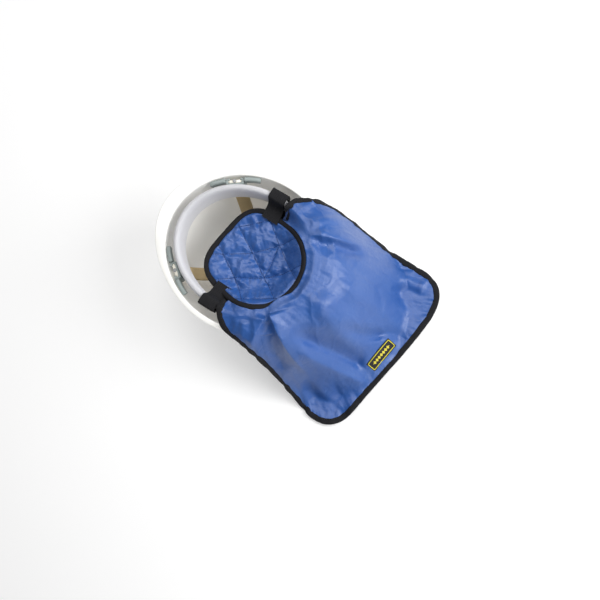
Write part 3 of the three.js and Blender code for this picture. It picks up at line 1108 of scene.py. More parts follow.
@dataclass
class Suspension:
    """The brackets round the rim with their keys, and the two crown straps."""

    shell: HatShell
    bracket_angle: float = 47
    bracket: tuple[float, float, float] = (25, 9, 22)
    key: tuple[float, float, float] = (19.4, 3, 26)
    strap_width: float = 19
    strap_thickness: float = 1.4
    strap_low: float = 34
    strap_apart: float = 6
    strap_inset: float = 15
    rail_from: float = 7.4
    rail_to: float = 19

    @property
    def middle(self) -> float:
        """Height of the brackets' middles."""
        return self.shell.height - 4 - self.bracket[2] / 2

    def place(self, side: int, end: int) -> tuple[float, float, float]:
        """Where a bracket meets the wall, and which way it faces.

        Args:
            side: 1 for the left, -1 for the right.
            end: 1 for the rear, -1 for the front.

        Returns:
            Its place across and along the hat, and its turn.
        """
        angle = math.radians(self.bracket_angle)
        x, y = side * math.sin(angle), end * math.cos(angle)
        inner = (self.shell.half_width - self.shell.wall, self.shell.half_length - self.shell.wall)
        reach = 1 / math.hypot(x / inner[0], y / inner[1])
        turn = math.atan2(y / self.shell.half_length**2, x / self.shell.half_width**2) - math.pi / 2
        return x * reach, y * reach, turn

    def bracket_and_key(self, name: str, place: tuple[float, float, float], finishes: Finishes) -> None:
        """Makes one bracket with its key.

        Args:
            name: Which corner it is.
            place: Where it meets the wall and its turn.
            finishes: The finishes.
        """
        inward = self.bracket[1] / 2 + 3
        stand = (
            Matrix.Translation((place[0], place[1], 0))
            @ Matrix.Rotation(place[2], 4, "Z")
            @ Matrix.Translation((0, -inward, 0))
        )
        width, depth, height = self.bracket
        slot_half = self.key[1] / 2 + 0.4
        holder = Carving(f"suspension_bracket_{name}", Matrix(stand))
        at = self.middle
        leaf = depth / 2 - slot_half
        holder.block((width, leaf, height), (0, -slot_half - leaf / 2, at), 0.8)
        post = (width - self.key[0] - 0.8) / 2
        for sign in (-1, 1):
            holder.block((post + 1.2, 2 * slot_half + 1, height), (sign * (width / 2 - post / 2), 0, at), 0.5)
            holder.block((width * 0.21, leaf, height), (sign * width * 0.395, slot_half + leaf / 2, at), 0.7)
            holder.block((1.2, 1.2, height * 0.8), (sign * width * 0.3, -depth / 2 - 0.2, at), 0.4)
        holder.block((width * 0.5, 1.2, 2.2), (0, -depth / 2 - 0.2, at + height * 0.28), 0.4)
        holder.block((width * 0.5, 1.2, 2.2), (0, -depth / 2 - 0.2, at - height * 0.28), 0.4)
        settle(holder.build(finishes.bracket), Body.HAT, "bracket_plastic", f"bracket_{name}")
        self.rail(name, place, finishes)
        tongue = Carving(f"suspension_key_{name}", Matrix(stand))
        tongue.block((self.key[0] - 0.4, self.key[1] - 0.3, self.key[2]), (0, 0, at - 2), 0.9)
        tongue.block((self.key[0] * 0.62, 1.0, 1.6), (0, 1.6, at + 7.4), 0.4)
        tongue.block((self.key[0] * 0.62, 1.0, 1.6), (0, 1.6, at + 3.6), 0.4)
        tongue.block((self.key[0] * 0.8, self.key[1] + 1.2, 1.8), (0, 0, at + 10.6), 0.6)
        settle(tongue.build(finishes.key), Body.HAT, "key_plastic", f"strap_key_{name}")
        boss = Carving(f"key_rivet_{name}", Matrix(stand))
        flat = Matrix.Translation((0, 0.3, at + 12.0))
        boss.disc(2.6, 1.4, flat, 0.4)
        settle(boss.build(finishes.rivet), Body.HAT, "key_plastic")

    def rail(self, name: str, place: tuple[float, float, float], finishes: Finishes) -> None:
        """Makes the two rails that run along the rim from a bracket.

        Args:
            name: Which corner they are at.
            place: Where the bracket meets the wall.
            finishes: The finishes.
        """
        inner = (self.shell.half_width - self.shell.wall, self.shell.half_length - self.shell.wall)
        middle = math.atan2(place[1] / inner[1], place[0] / inner[0])
        shape = Shape(f"bracket_rails_{name}")
        for sign in (-1, 1):
            angle = middle + sign * np.radians(np.linspace(self.rail_from, self.rail_to, 30))
            taper = smooth(1.15 - np.linspace(0, 1, 30) ** 4)
            inset = 5.4 - 1.6 * np.linspace(0, 1, 30)
            height = np.full(30, self.shell.height - 5.4) - 1.2 * (1 - taper)
            across, along = (inner[0] - inset) * np.cos(angle), (inner[1] - inset) * np.sin(angle)
            path = np.column_stack([across, along, height])
            up = np.array([[0, 0, 1.0]] * 30)
            shape.tube(hat_to_row(path), up, flat_oval(6.4, 9.6, 24, 4.5), False)
        settle(shape.build([finishes.bracket]), Body.HAT, "bracket_plastic")

    def crown_strap(self, name: str, start: tuple, end: tuple, low: float, finishes: Finishes) -> None:
        """Makes a crown strap from a front key to the far rear key.

        Args:
            name: The frame's piece it replaces.
            start: The front key's place.
            end: The rear key's place.
            low: The strap's lowest height.
            finishes: The finishes.
        """
        top = self.middle - 2 - self.key[2] / 2 - 1.5
        ends = [
            np.array(place[:2]) * (1 - self.strap_inset / math.hypot(*place[:2])) for place in (start, end)
        ]
        share = np.linspace(0, 1, 90)
        height = low + (top - low) * np.abs(2 * share - 1) ** 2.6
        plan = lerp(ends[0][None], ends[1][None], share[:, None])
        path = np.column_stack([plan, height])
        across = np.array([-(ends[1] - ends[0])[1], (ends[1] - ends[0])[0], 0])
        across /= np.linalg.norm(across)
        columns = np.linspace(-0.5, 0.5, 11)
        crown = 0.35 * (1 - (2 * columns) ** 2)
        way = unit(np.gradient(path, axis=0))
        lift = np.cross(way, across)
        lift *= np.sign(lift[:, 2:3])
        sway = Grain(5).at(share * 6, share * 0) * 0.7
        points = (
            path[:, None]
            + across * (columns[None, :, None] * self.strap_width + sway[:, None, None])
            + lift[:, None] * crown[None, :, None]
        )
        wide = columns[None, :] * self.strap_width
        cut = np.stack(np.broadcast_arrays(wide, run_along(path)[:, None]), axis=-1)
        shape = Shape(f"{name}_webbing")
        shape.slab(hat_to_row(points), self.strap_thickness, cut, flip=True)
        settle(shape.build([finishes.crown]), Body.HAT, "crown_webbing", name)

    def build(self, finishes: Finishes) -> None:
        """Makes every piece of the suspension.

        Args:
            finishes: The finishes.
        """
        corners = {}
        for end, end_word in ((-1, "front"), (1, "rear")):
            for side in Side:
                name = f"{end_word}_{side.word}"
                corners[name] = self.place(side.value, end)
                self.bracket_and_key(name, corners[name], finishes)
        for name, front, rear, low in (
            ("crown_strap_upper", "front_right", "rear_left", self.strap_low),
            ("crown_strap_lower", "front_left", "rear_right", self.strap_low - self.strap_apart),
        ):
            self.crown_strap(name, corners[front], corners[rear], low, finishes)


@dataclass
class Headband:
    """The ring round the head and the padded sweatband over its brow."""

    half_width: float = 86
    half_length: float = 105
    thickness: float = 2
    bottom: float = 106
    top: float = 138
    rear_gap: float = 50
    nape_reach: float = 18.7
    brow_thickness: float = 7.5

    def sweep(self, name: str, from_angle: float, to_angle: float, section: np.ndarray) -> Shape:
        """A closed section drawn round the ring.

        Args:
            name: The piece's name.
            from_angle: Where it starts, in radians from the hat's X axis.
            to_angle: Where it ends.
            section: Distances out from the band's inner face, and heights.

        Returns:
            The shape.
        """
        angle = np.linspace(from_angle, to_angle, 200)[:, None]
        out, height = section[None, :, 0], section[None, :, 1]
        x = (self.half_width + out) * np.cos(angle)
        y = (self.half_length + out) * np.sin(angle)
        points = np.stack(np.broadcast_arrays(x, y, height), axis=-1)
        run = (angle - from_angle) * (self.half_width + self.half_length) / 2
        girth = np.linspace(0, 90, section.shape[0] + 1)
        cut = np.stack(np.broadcast_arrays(run, girth[None, :]), axis=-1)
        shape = Shape(name)
        index = shape.grid(hat_to_row(points), cut, wrap=(False, True))
        shape.cap(index[0], flip=True)
        shape.cap(index[-1])
        return shape

    def build(self, finishes: Finishes) -> None:
        """Makes the band and the brow pad.

        Args:
            finishes: The finishes.
        """
        height = self.top - self.bottom
        middle = (self.top + self.bottom) / 2
        rear = math.acos(self.rear_gap / self.half_width)
        rim = flat_oval(height, self.thickness, 28, 9)[:, ::-1] + (self.thickness / 2, middle)
        band = self.sweep("headband_ring", math.pi - rear, 2 * math.pi + rear, rim)
        settle(band.build([finishes.band]), Body.HAT, "band_plastic", "headband")
        crown = flat_oval(height + 4.4, self.brow_thickness + 3.6, 44, 2.7)[:, ::-1]
        roll = crown + (-self.brow_thickness / 2 + 1.2, middle + 0.8)
        end = math.radians(7)
        brow = self.sweep("brow_sweatband", math.pi - end, 2 * math.pi + end, roll).build([finishes.brow])
        settle(brow, Body.HAT, "brow_foam", "brow_pad")
        self.rear_pieces(finishes)

    def rear_pieces(self, finishes: Finishes) -> None:
        """Makes the ribbed cushion of the nape pad.

        Args:
            finishes: The finishes.
        """
        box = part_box("nape_pad")
        middle = (box[0][2] + box[1][2]) / 2 / MM
        width, height = 70.0, 22.0
        face = self.half_length - self.nape_reach
        across = np.linspace(-1, 1, 60)[:, None]
        up = np.linspace(-1, 1, 30)[None, :]
        puff = 1.5 * (1 - across**8) * (1 - up**4)
        ribs = 0.25 * np.cos(across * 40)
        y = face - puff - ribs * (1 - across**8)
        x = across * width / 2 * (1 - 0.06 * np.abs(up) ** 6)
        z = middle + up * height / 2 * (1 - 0.1 * across**10)
        points = np.stack([x, y, z], axis=-1)
        cut = np.stack(np.broadcast_arrays(across * width / 2, up * height / 2), axis=-1)
        shape = Shape("nape_cushion")
        shape.slab(hat_to_row(points), 1.6, cut)
        cushion = settle(shape.build([finishes.brow]), Body.HAT, "brow_foam", "nape_pad")


# ---- cooling pad ----


@dataclass
class CoolingPad:
    """The quilted pad that lies inside the headband, in a bound edge."""

    half_width: float = 67
    half_length: float = 71
    middle: float = 20
    front_squareness: float = 3.3
    rear_squareness: float = 2.2
    height: float = 112
    dish: float = 8
    rise: float = 27
    band_half_width: float = 86
    band_half_length: float = 105
    binding_width: float = 8
    puff: float = 4.2
    crinkle: float = 2.3

    def quilting(self) -> list[np.ndarray]:
        """The sewn lines of the quilting.

        Returns:
            Each line's points, across and along the pad.
        """
        lines = [
            [(-20, -39), (-5, 3), (11, 40), (24, 78)],
            [(16, -47), (37, 6), (58, 50)],
            [(-63, -20), (-37, 26), (-21, 62), (-13, 88)],
            [(35, -42), (-5, 3), (-37, 26), (-64, 47)],
            [(66, -18), (37, 9), (11, 40), (-36, 76)],
            [(-8, -47), (-37, -23), (-67, 2)],
            [(66, 24), (50, 44), (25, 74), (14, 90)],
            [(11, 40), (-37, 26)],
        ]
        return [np.array(line, float) for line in lines]

    def plan(self, angle: np.ndarray, share: np.ndarray) -> tuple[np.ndarray, np.ndarray]:
        """A place in plan.

        Args:
            angle: Its angle off the rear axis.
            share: How far out it lies, 1 at the edge.

        Returns:
            Its place across and along.
        """
        sin, cos = np.sin(angle), np.cos(angle)
        power = np.where(cos > 0, self.rear_squareness, self.front_squareness)
        wide, long = np.abs(sin / self.half_width), np.abs(cos / self.half_length)
        reach = (wide**power + long**power) ** (-1 / power)
        return share * reach * sin, self.middle + share * reach * cos

    def share_at(self, x: np.ndarray, y: np.ndarray) -> np.ndarray:
        """How far out places lie, 1 at the pad's edge.

        Args:
            x: Places across.
            y: Places along.

        Returns:
            The share of each.
        """
        angle = np.arctan2(x, y - self.middle)
        edge_x, edge_y = self.plan(angle, np.ones_like(angle))
        return np.hypot(x, y - self.middle) / np.hypot(edge_x, edge_y - self.middle)

    def band_share(self, x: np.ndarray, y: np.ndarray) -> np.ndarray:
        """How far out a place lies, 1 at the headband's inner face."""
        across, along = in_hat(x, y)
        return np.hypot(across / self.band_half_width, along / self.band_half_length)

    def face(self, x: np.ndarray, y: np.ndarray) -> np.ndarray:
        """The height of the pad's plain face."""
        climb = smooth((self.band_share(x, y) - 0.5) / 0.38) * smooth(y / 60)
        return self.height + self.dish * (x / self.half_width) ** 2 + self.rise * climb

    def quilt(self, x: np.ndarray, y: np.ndarray, share: np.ndarray) -> np.ndarray:
        """How far the stuffed and puckered cloth stands over the plain face.

        Args:
            x: Places across.
            y: Places along.
            share: How far out each lies.

        Returns:
            The added height.
        """
        nearest = np.full(x.shape, 1e3)
        wrinkle = np.zeros(x.shape)
        for number, line in enumerate(self.quilting()):
            distance, signed, along = off_line(x, y, line)
            nearest = np.minimum(nearest, distance)
            pull = Grain(40 + number).rough(along * run_along(line)[-1] / 7.5, signed / 22, 2)
            wrinkle += pull * np.exp(-((distance / 11) ** 1.4)) * (1 - np.exp(-distance / 1.6))
        edge = (1 - share) * 66
        stuffed = np.tanh(nearest / 7.5) ** 1.1 * np.tanh(np.maximum(edge - 3, 0) / 7)
        angle = np.arctan2(x, y - self.middle)
        rim = Grain(61).rough(angle * 9.5, share * 4, 2) * np.exp(-((edge - 6) / 9) ** 2)
        crush = Grain(62).rough(x / 9 + 0.3 * y / 9, y / 13, 3)
        sharp = 1 - 2 * np.abs(Grain(63).rough(x / 17 + y / 40, y / 12 - x / 30, 2))
        loose = smooth((edge - 7) / 5)
        return (
            self.puff * stuffed
            + self.crinkle * wrinkle * loose
            + 1.5 * rim * loose
            + (0.8 * crush + 0.7 * sharp) * stuffed * loose
            - 1.8 * smooth((9 - edge) / 4)
        )

    def build(self, finishes: Finishes) -> None:
        """Makes the cushion, its quilting thread and its binding.

        Args:
            finishes: The finishes.
        """
        angle = np.linspace(-math.pi, math.pi, 340, endpoint=False)[:, None]
        share = np.concatenate([np.linspace(0.004, 0.9, 96), np.linspace(0.91, 0.965, 8)])[None, :]
        x, y = self.plan(angle, share)
        added = self.quilt(x, y, share)
        top = np.stack([x, y, self.face(x, y) + added], axis=-1)
        cut = np.stack([x, y], axis=-1)
        cut = np.concatenate([cut, cut[:1]])
        cushion = Shape("pad_cushion")
        inner = np.broadcast_to(4.6 + 4.4 * np.tanh((0.97 - share) * 9), x.shape)
        base = np.stack([x, y, self.face(x, y) - inner], axis=-1)
        upper = cushion.grid(top, cut, 0, (True, False), True)
        lower = cushion.grid(base, cut, 1, (True, False), False)
        cushion.stitch(np.stack([lower[:, -1], upper[:, -1]], 1), cut[:, -2:], 0, (True, False), False)
        cushion.stitch(np.stack([upper[:, 0], lower[:, 0]], 1), cut[:, :2], 0, (True, False), False)
        piece = cushion.build([finishes.nylon, finishes.lining])
        settle(piece, Body.HAT, "blue_nylon", "pad_cover", "pad_core", "pad_lining")
        self.threads(finishes)
        self.edge(finishes)

    def threads(self, finishes: Finishes) -> None:
        """Makes the quilting stitches that lie in the sewn lines.

        Args:
            finishes: The finishes.
        """
        shape = Shape("quilting_stitches")
        section = flat_oval(0.9, 0.6, 6, 2)
        dip = np.array([-0.1, 0.25, 0.25, -0.1])
        for line in self.quilting():
            run = curve_through([tuple(point) for point in line], 200)
            keep = run[self.share_at(*run.T) < 0.93]
            keep = even(keep, max(int(run_along(keep)[-1] / 0.8), 8))
            for start in range(0, len(keep) - 4, 4):
                x, y = keep[start : start + 4].T
                z = self.face(x, y) + self.quilt(x, y, self.share_at(x, y)) + dip
                shape.tube(np.column_stack([x, y, z]), np.array([[0, 0, 1.0]] * 4), section, False)
        settle(shape.build([finishes.blue_thread]), Body.HAT, "blue_nylon")

    def edge(self, finishes: Finishes) -> None:
        """Makes the binding round the pad.

        Args:
            finishes: The finishes.
        """
        angle = np.linspace(-math.pi, math.pi, 260, endpoint=False)
        x, y = self.plan(angle, 1 - self.binding_width / 2 / self.half_width + 0 * angle)
        wave = Grain(71).rough(angle * 5, angle * 0, 2) * 0.5
        path = np.column_stack([x, y, self.face(x, y) - 1.3 + wave])
        inner_x, inner_y = self.plan(angle, 0.86 + 0 * angle)
        slope = np.column_stack([x - inner_x, y - inner_y, self.face(x, y) - self.face(inner_x, inner_y)])
        up = unit(np.cross(np.cross(slope, [0, 0, 1.0]), slope))
        shape = Shape("pad_edge_binding")
        shape.tube(path, up, flat_oval(self.binding_width + 0.4, 6.2, 18, 2.4), True)
        settle(shape.build([finishes.binding]), Body.HAT, "black_binding", "pad_binding")


# ---- neck shade ----


@dataclass(frozen=True)
class Fold:
    """A fold laid into the cloth along a line.

    Its crest or floor has a height; its first side is the one on the left of the line.
    """

    line: tuple[tuple[float, float], ...]
    height: float
    left: float
    right: float
    fade_in: float = 0.15
    fade_out: float = 0.2
    sharp: float = 2.0

    def at(self, x: np.ndarray, y: np.ndarray) -> np.ndarray:
        """The height it adds to the cloth.

        Args:
            x: Places across.
            y: Places along.

        Returns:
            The added height at each place.
        """
        line = curve_through(list(self.line), 24)
        distance, signed, along = off_line(x, y, line)
        width = np.where(signed > 0, self.left, self.right)
        across = np.exp(-((distance / width) ** self.sharp))
        fade = smooth((along + 0.02) / self.fade_in) * smooth((1.02 - along) / self.fade_out)
        return self.height * across * fade


@dataclass
class NeckShade:
    """The bound sheet from the pad over the rear rim to the table, with its label."""

    pad: CoolingPad
    shell: HatShell
    band_top: float = 138
    over_band: float = 6.5
    over_brim: float = 10.0
    brim_softness: float = 9.0
    table: float = 2.6
    side_reach: float = 58
    rear_reach: float = 104
    hinge: tuple[float, float, float] = (0, 112, 141)
    cloth: float = 2.2
    binding_width: float = 9.0
    lap: float = 0.085
    lap_middle: float = 19
    lap_half: float = 20
    right_start: float = -99
    left_start: float = 82
    label_middle: tuple[float, float] = (-17.5, 222.5)
    label_size: tuple[float, float] = (50, 15)
    label_turn: float = 1.5

    def outline(self) -> list[tuple[float, float]]:
        """The bound edge, from the right lobe's start round the hem to the left lobe's.

        Returns:
            A few places along it, across and along the cloth.
        """
        return [
            (-72, 11), (-85, 10), (-101, 12), (-112, 23), (-125, 41), (-132, 61), (-137, 84), (-142, 115),
            (-147, 149), (-152, 182), (-153, 203), (-149, 219), (-137, 231), (-118, 239), (-90, 243),
            (-45, 244.5), (1, 244), (45, 243.5), (74, 243.5), (95, 240), (110, 229), (117, 214), (118, 197),
            (113, 169), (107, 142),
            (102, 118), (99.5, 97), (99.5, 78), (101, 63), (100, 51), (93, 37), (83, 28), (71, 25),
        ]

    def folds(self) -> list[Fold]:
        """The folds, ridges and hollows of the cloth as it lies.

        Returns:
            The folds, in the order they are laid in.
        """
        return [
            Fold(
                ((-72, 58), (-60, 74), (-47, 84), (-30, 94), (-14, 98), (4, 98), (20, 94), (38, 82)),
                2.6, 6, 9,
            ),
            Fold(((-70, 56), (-86, 80), (-101, 100), (-120, 114)), 8.5, 17, 4.5, 0.3, 0.3, 1.6),
            Fold(((-64, 60), (-80, 86), (-95, 106), (-113, 120)), -14.0, 6, 11, 0.25, 0.3, 1.9),
            Fold(((-76, 74), (-79, 107), (-82, 146), (-89, 166), (-99, 186)), -5.0, 9, 16, 0.25, 0.1),
            Fold(((-88, 150), (-80, 168), (-66, 184), (-50, 196)), -3.2, 4, 7, 0.3, 0.4, 1.6),
            Fold(((-40, 196), (-30, 214), (-24, 238)), -3.0, 4, 6, 0.3, 0.2, 1.6),
            Fold(((60, 196), (66, 214), (66, 236)), -4.0, 5, 7, 0.3, 0.2, 1.6),
            Fold(((-132, 96), (-112, 108), (-98, 126)), 2.6, 5, 8, 0.3, 0.5, 1.6),
            Fold(((-146, 160), (-128, 164), (-112, 174)), -2.6, 4, 7, 0.2, 0.4, 1.6),
            Fold(((-150, 200), (-134, 202), (-120, 208)), 2.6, 4, 6, 0.2, 0.4, 1.6),
            Fold(((-98, 172), (-110, 192), (-112, 210), (-104, 234)), -13.0, 11, 14, 0.25, 0.25, 2.0),
            Fold(((-116, 130), (-124, 160), (-128, 190), (-127, 222)), 6.0, 12, 16, 0.3, 0.3),
            Fold(((-50, 120), (-58, 150), (-66, 180), (-66, 215)), 6.5, 18, 14, 0.3, 0.35),
            Fold(((-20, 112), (-10, 140), (-6, 168), (-10, 206)), 9.5, 30, 17, 0.3, 0.4),
            Fold(((-2, 162), (-22, 188), (-46, 212), (-60, 234)), -11.0, 8, 10, 0.3, 0.15, 1.9),
            Fold(((42, 88), (52, 106), (61, 124), (69, 146), (72, 168)), 11.0, 17, 4.5, 0.08, 0.3, 1.4),
            Fold(((50, 92), (70, 108), (81, 124), (86, 146)), -13.0, 9, 11, 0.12, 0.3, 2.0),
            Fold(((48, 86), (76, 91), (98, 95), (110, 98)), 7.0, 4, 13, 0.15, 0.2, 1.5),
            Fold(((42, 122), (36, 138), (29, 158), (18, 190), (7, 232)), -17.0, 15, 9, 0.2, 0.12, 1.9),
            Fold(((56, 140), (52, 165), (42, 196), (28, 236)), 10.0, 8, 13, 0.25, 0.15, 1.7),
            Fold(((84, 164), (90, 184), (94, 204), (86, 228)), -9.5, 9, 10, 0.25, 0.2, 2.0),
            Fold(((104, 120), (110, 150), (113, 180), (112, 210)), 3.5, 9, 10, 0.3, 0.3),
            Fold(((78, 48), (92, 58), (108, 64)), -3.5, 5, 7, 0.2, 0.2),
            Fold(((70, 66), (86, 76), (106, 84)), 3.2, 8, 6, 0.2, 0.2),
            Fold(((-80, 28), (-96, 34), (-118, 40)), -3.0, 6, 7, 0.2, 0.2),
            Fold(((-82, 44), (-100, 58), (-124, 70)), 3.0, 8, 8, 0.2, 0.2),
        ]

    def beyond_brim(self, x: np.ndarray, y: np.ndarray) -> np.ndarray:
        """How far places lie outside the brim.

        Args:
            x: Places across.
            y: Places along.

        Returns:
            The distance of each, below zero inside the brim.
        """
        wide, long = self.shell.half_width + self.shell.brim, self.shell.half_length + self.shell.brim
        across, along = in_hat(x, y)
        share = np.hypot(across / wide, along / long)
        return (share - 1) * (self.shell.half_width + self.shell.half_length) / 2

    def drape(self, x: np.ndarray, y: np.ndarray) -> np.ndarray:
        """The height of the plain cloth: over the headband, down to the brim, then to the table.

        Args:
            x: Places across.
            y: Places along.

        Returns:
            The height at each place.
        """
        out = self.beyond_brim(x, y)
        eased = self.brim_softness * np.logaddexp(0, out / self.brim_softness)
        rearward = np.maximum(0, y) ** 2 / (x * x + y * y + 1)
        reach = lerp(self.side_reach, self.rear_reach, rearward)
        share = np.clip(eased / reach, 0, 1)
        fall = 0.5 * share + 0.25 * (1 - np.cos(math.pi * share))
        brim = self.shell.height + self.over_brim
        crest = lerp(self.band_top + self.over_band, brim, smooth((out + 28) / 40))
        return crest - (brim - self.table) * fall

    def face(
        self, x: np.ndarray, y: np.ndarray, edge_height: np.ndarray, rim: np.ndarray, seam: np.ndarray
    ) -> np.ndarray:
        """The height of the cloth's face with its folds and puckers.

        Args:
            x: Places across.
            y: Places along.
            edge_height: The height of the pad's edge that each place is sewn to.
            rim: How far each lies from the bound edge.
            seam: How far each lies from the pad's edge.

        Returns:
            The heights.
        """
        lift = smooth((seam - 1) / 17)
        height = lerp(edge_height, self.drape(x, y), lift)
        inside = smooth(rim / 14)
        sewn = smooth((seam - 2) / 12)
        free = lerp(0.4, 1.0, smooth(self.beyond_brim(x, y) / 22))
        label_x, label_y = self.label_middle
        stiffened = np.hypot((x - label_x) / self.label_size[0], (y - label_y) / (1.5 * self.label_size[1]))
        calm = lerp(0.2, 1.0, smooth((stiffened - 0.5) / 0.6))
        for fold in self.folds():
            depth = fold.at(x, y) * lerp(0.45, 1.0, inside) * sewn * calm
            height = height + np.where(depth < 0, depth * free, depth)
        swell = Grain(11).rough(x / 46, y / 60, 2) * 1.5
        slack = Grain(12).rough(x / 15 + y / 60, y / 34 - x / 50, 3) * 0.75
        crease = 1 - 2 * np.abs(Grain(13).rough(x / 30 + y / 70, y / 22 - x / 55, 2))
        height = height + (swell + slack + 0.8 * np.maximum(crease, 0) ** 2) * sewn * calm
        share = self.pad.band_share(x, y)
        over_ring = (self.band_top + self.cloth + 0.5) * smooth((0.08 - np.abs(share - 1.01)) / 0.04)
        beside = np.abs(self.beyond_brim(x, y) + 3.5)
        over_rim = (self.shell.height + self.cloth + 0.4) * smooth((8 - beside) / 4)
        hat_top = np.maximum(over_ring, over_rim)
        height = hat_top + np.logaddexp(0, (height - hat_top) / 1.2) * 1.2
        floor = self.table + 0.4
        over = (height - floor) / 3.0
        return floor + 3.0 * np.where(over > 12, over, np.log1p(np.exp(np.minimum(over, 12))))

    def sheet_grid(self, cells: int = 470, rows: int = 150) -> np.ndarray:
        """The cloth's face from the pad's edge to the bound edge.

        Args:
            cells: How many steps there are along the edge.
            rows: How many steps there are out from the pad.

        Returns:
            The places of the face.
        """
        rim = curve_through(self.outline(), cells)
        run = np.linspace(0, run_along(rim)[-1], cells)
        turn = np.unwrap(np.arctan2(rim[:, 0], rim[:, 1] - self.pad.middle))
        start, end = math.radians(self.right_start), math.radians(self.left_start)
        turn = start + (turn - turn[0]) * (end - start) / (turn[-1] - turn[0])
        turn = np.maximum.accumulate(turn)
        lap = smooth(1 - np.abs(np.degrees(turn) - self.lap_middle) / self.lap_half)
        inner_x, inner_y = self.pad.plan(turn, 0.985 - self.lap * lap)
        share = np.linspace(0, 1, rows) ** 0.92
        x = lerp(inner_x[:, None], rim[:, :1], share[None, :])
        y = lerp(inner_y[:, None], rim[:, 1:], share[None, :])
        edge_height = (self.pad.face(inner_x, inner_y) + 0.8 + 5.4 * lap)[:, None] + 0 * x
        seam_away = np.hypot(x - inner_x[:, None], y - inner_y[:, None])
        away = np.minimum(
            np.hypot(x - rim[:, :1], y - rim[:, 1:]),
            np.minimum(run[:, None], run[-1] - run[:, None]) + 2 + 0 * x,
        )
        height = self.face(x, y, edge_height, away, seam_away)
        tug = Grain(14).rough(run[:, None] / 6.5, away / 30, 2) * np.exp(-away / 14) * 1.5
        long_tug = Grain(15).at(run[:, None] / 17, away / 60) * np.exp(-away / 34) * 2.4
        seam = Grain(16).rough(turn[:, None] * 8 + 0 * x, share[None, :] * 5 + 0 * x, 2)
        near_pad = np.exp(-seam_away / 9)
        height = height + (tug + long_tug) * smooth(np.hypot(x, y) / 60) + seam * near_pad * 1.1
        height = np.maximum(height, self.table)
        return np.stack([x, y, height], axis=-1)

    def build(self, finishes: Finishes) -> None:
        """Makes the cloth, its binding, its stitches and its label.

        Args:
            finishes: The finishes.
        """
        face = self.sheet_grid()
        cut = face[..., :2].copy()
        cut[..., 1] += (146 - face[..., 2]) * 0.45
        shape = Shape("neck_shade_cloth")
        shape.slab(face[:, :-2], self.cloth, cut[:, :-2], (0, 1), flip=self.faces_down(face))
        cloth = shape.build([finishes.nylon, finishes.lining])
        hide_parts("yoke_face", "yoke_lining", "skirt_face", "skirt_lining")
        self.bend(cloth)
        binding = self.edge(face, finishes)
        stitches = self.stitches(face, finishes)
        label = self.label(finishes)

    def faces_down(self, face: np.ndarray) -> bool:
        """Whether the grid's normals point down."""
        return bool(surface_normals(face)[..., 2].mean() < 0)

    def bend(self, piece: bpy.types.Object) -> None:
        """Bakes a piece's place into its mesh.

        Args:
            piece: The piece, in its final mesh.
        """
        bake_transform(piece)

    def edge(self, face: np.ndarray, finishes: Finishes) -> bpy.types.Object:
        """Makes the binding along the cloth's edge.

        Args:
            face: The cloth's face.
            finishes: The finishes.

        Returns:
            The binding.
        """
        normal = surface_normals(face)
        normal *= np.sign(normal[..., 2:3])
        rim, inner = face[:, -1], face[:, -6]
        inward = unit(inner - rim)
        ripple = Grain(21).rough(np.arange(len(rim))[:, None] / 5.0, np.zeros((len(rim), 1)), 2) * 0.35
        path = rim + inward * self.binding_width * 0.42 - normal[:, -3] * (self.cloth / 2 + ripple)
        path = self.eased(path, 3)
        path[:, 2] = np.maximum(path[:, 2], 2.1)
        up = unit(self.eased(normal[:, -3], 4))
        shape = Shape("neck_shade_binding")
        shape.tube(path, up, flat_oval(self.binding_width, 3.9, 18, 2.8), False)
        binding = shape.build([finishes.binding])
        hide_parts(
            "right_lobe_binding", "left_lobe_binding", "right_lobe_front_binding",
            "left_lobe_front_binding", "right_side_binding", "left_side_binding", "hem_binding",
        )
        self.bend(binding)
        return binding

    def eased(self, values: np.ndarray, times: int) -> np.ndarray:
        """Evens out rows of values.

        Args:
            values: The rows.
            times: How often each is averaged with its neighbours.

        Returns:
            The evened rows.
        """
        for _ in range(times):
            middle = (values[:-2] + 2 * values[1:-1] + values[2:]) / 4
            values = np.vstack([values[:1], middle, values[-1:]])
        return values

    def stitches(self, face: np.ndarray, finishes: Finishes) -> bpy.types.Object:
        """Makes the row of stitches that holds the binding.

        Args:
            face: The cloth's face.
            finishes: The finishes.

        Returns:
            The stitches.
        """
        normal = surface_normals(face)
        normal *= np.sign(normal[..., 2:3])
        rim, inner = face[:, -1], face[:, -6]
        row = rim + unit(inner - rim) * self.binding_width * 0.72 + normal[:, -3] * 0.9
        row = self.eased(row, 3)
        row = even(row, int(run_along(row)[-1] / 0.9))
        shape = Shape("neck_shade_stitches")
        section = flat_oval(0.7, 0.5, 6, 2)
        dip = np.array([[0, 0, -0.35], [0, 0, 0.1], [0, 0, -0.35]])
        for start in range(0, len(row) - 4, 4):
            shape.tube(row[start : start + 3] + dip, np.array([[0, 0, 1.0]] * 3), section, False)
        made = shape.build([finishes.thread])
        self.bend(made)
        return made

    def label(self, finishes: Finishes) -> list[bpy.types.Object]:
        """Makes the label and its raised border.

        Args:
            finishes: The finishes.

        Returns:
            The label and its border.
        """
        length, width = self.label_size
        turn = math.radians(self.label_turn)

        def on_cloth(across: np.ndarray, along: np.ndarray, lift: np.ndarray) -> np.ndarray:
            """Lays places of the label on the cloth.

            Args:
                across: Places along the label's length.
                along: Places along its width.
                lift: How far each stands over the cloth.

            Returns:
                The places in the assembly.
            """
            x = self.label_middle[0] + across * math.cos(turn) - along * math.sin(turn)
            y = self.label_middle[1] + across * math.sin(turn) + along * math.cos(turn)
            height = self.face(x, y, *(np.full(x.shape, far) for far in (130.0, 30.0, 90.0)))
            return np.stack([x, y, height + lift], axis=-1)

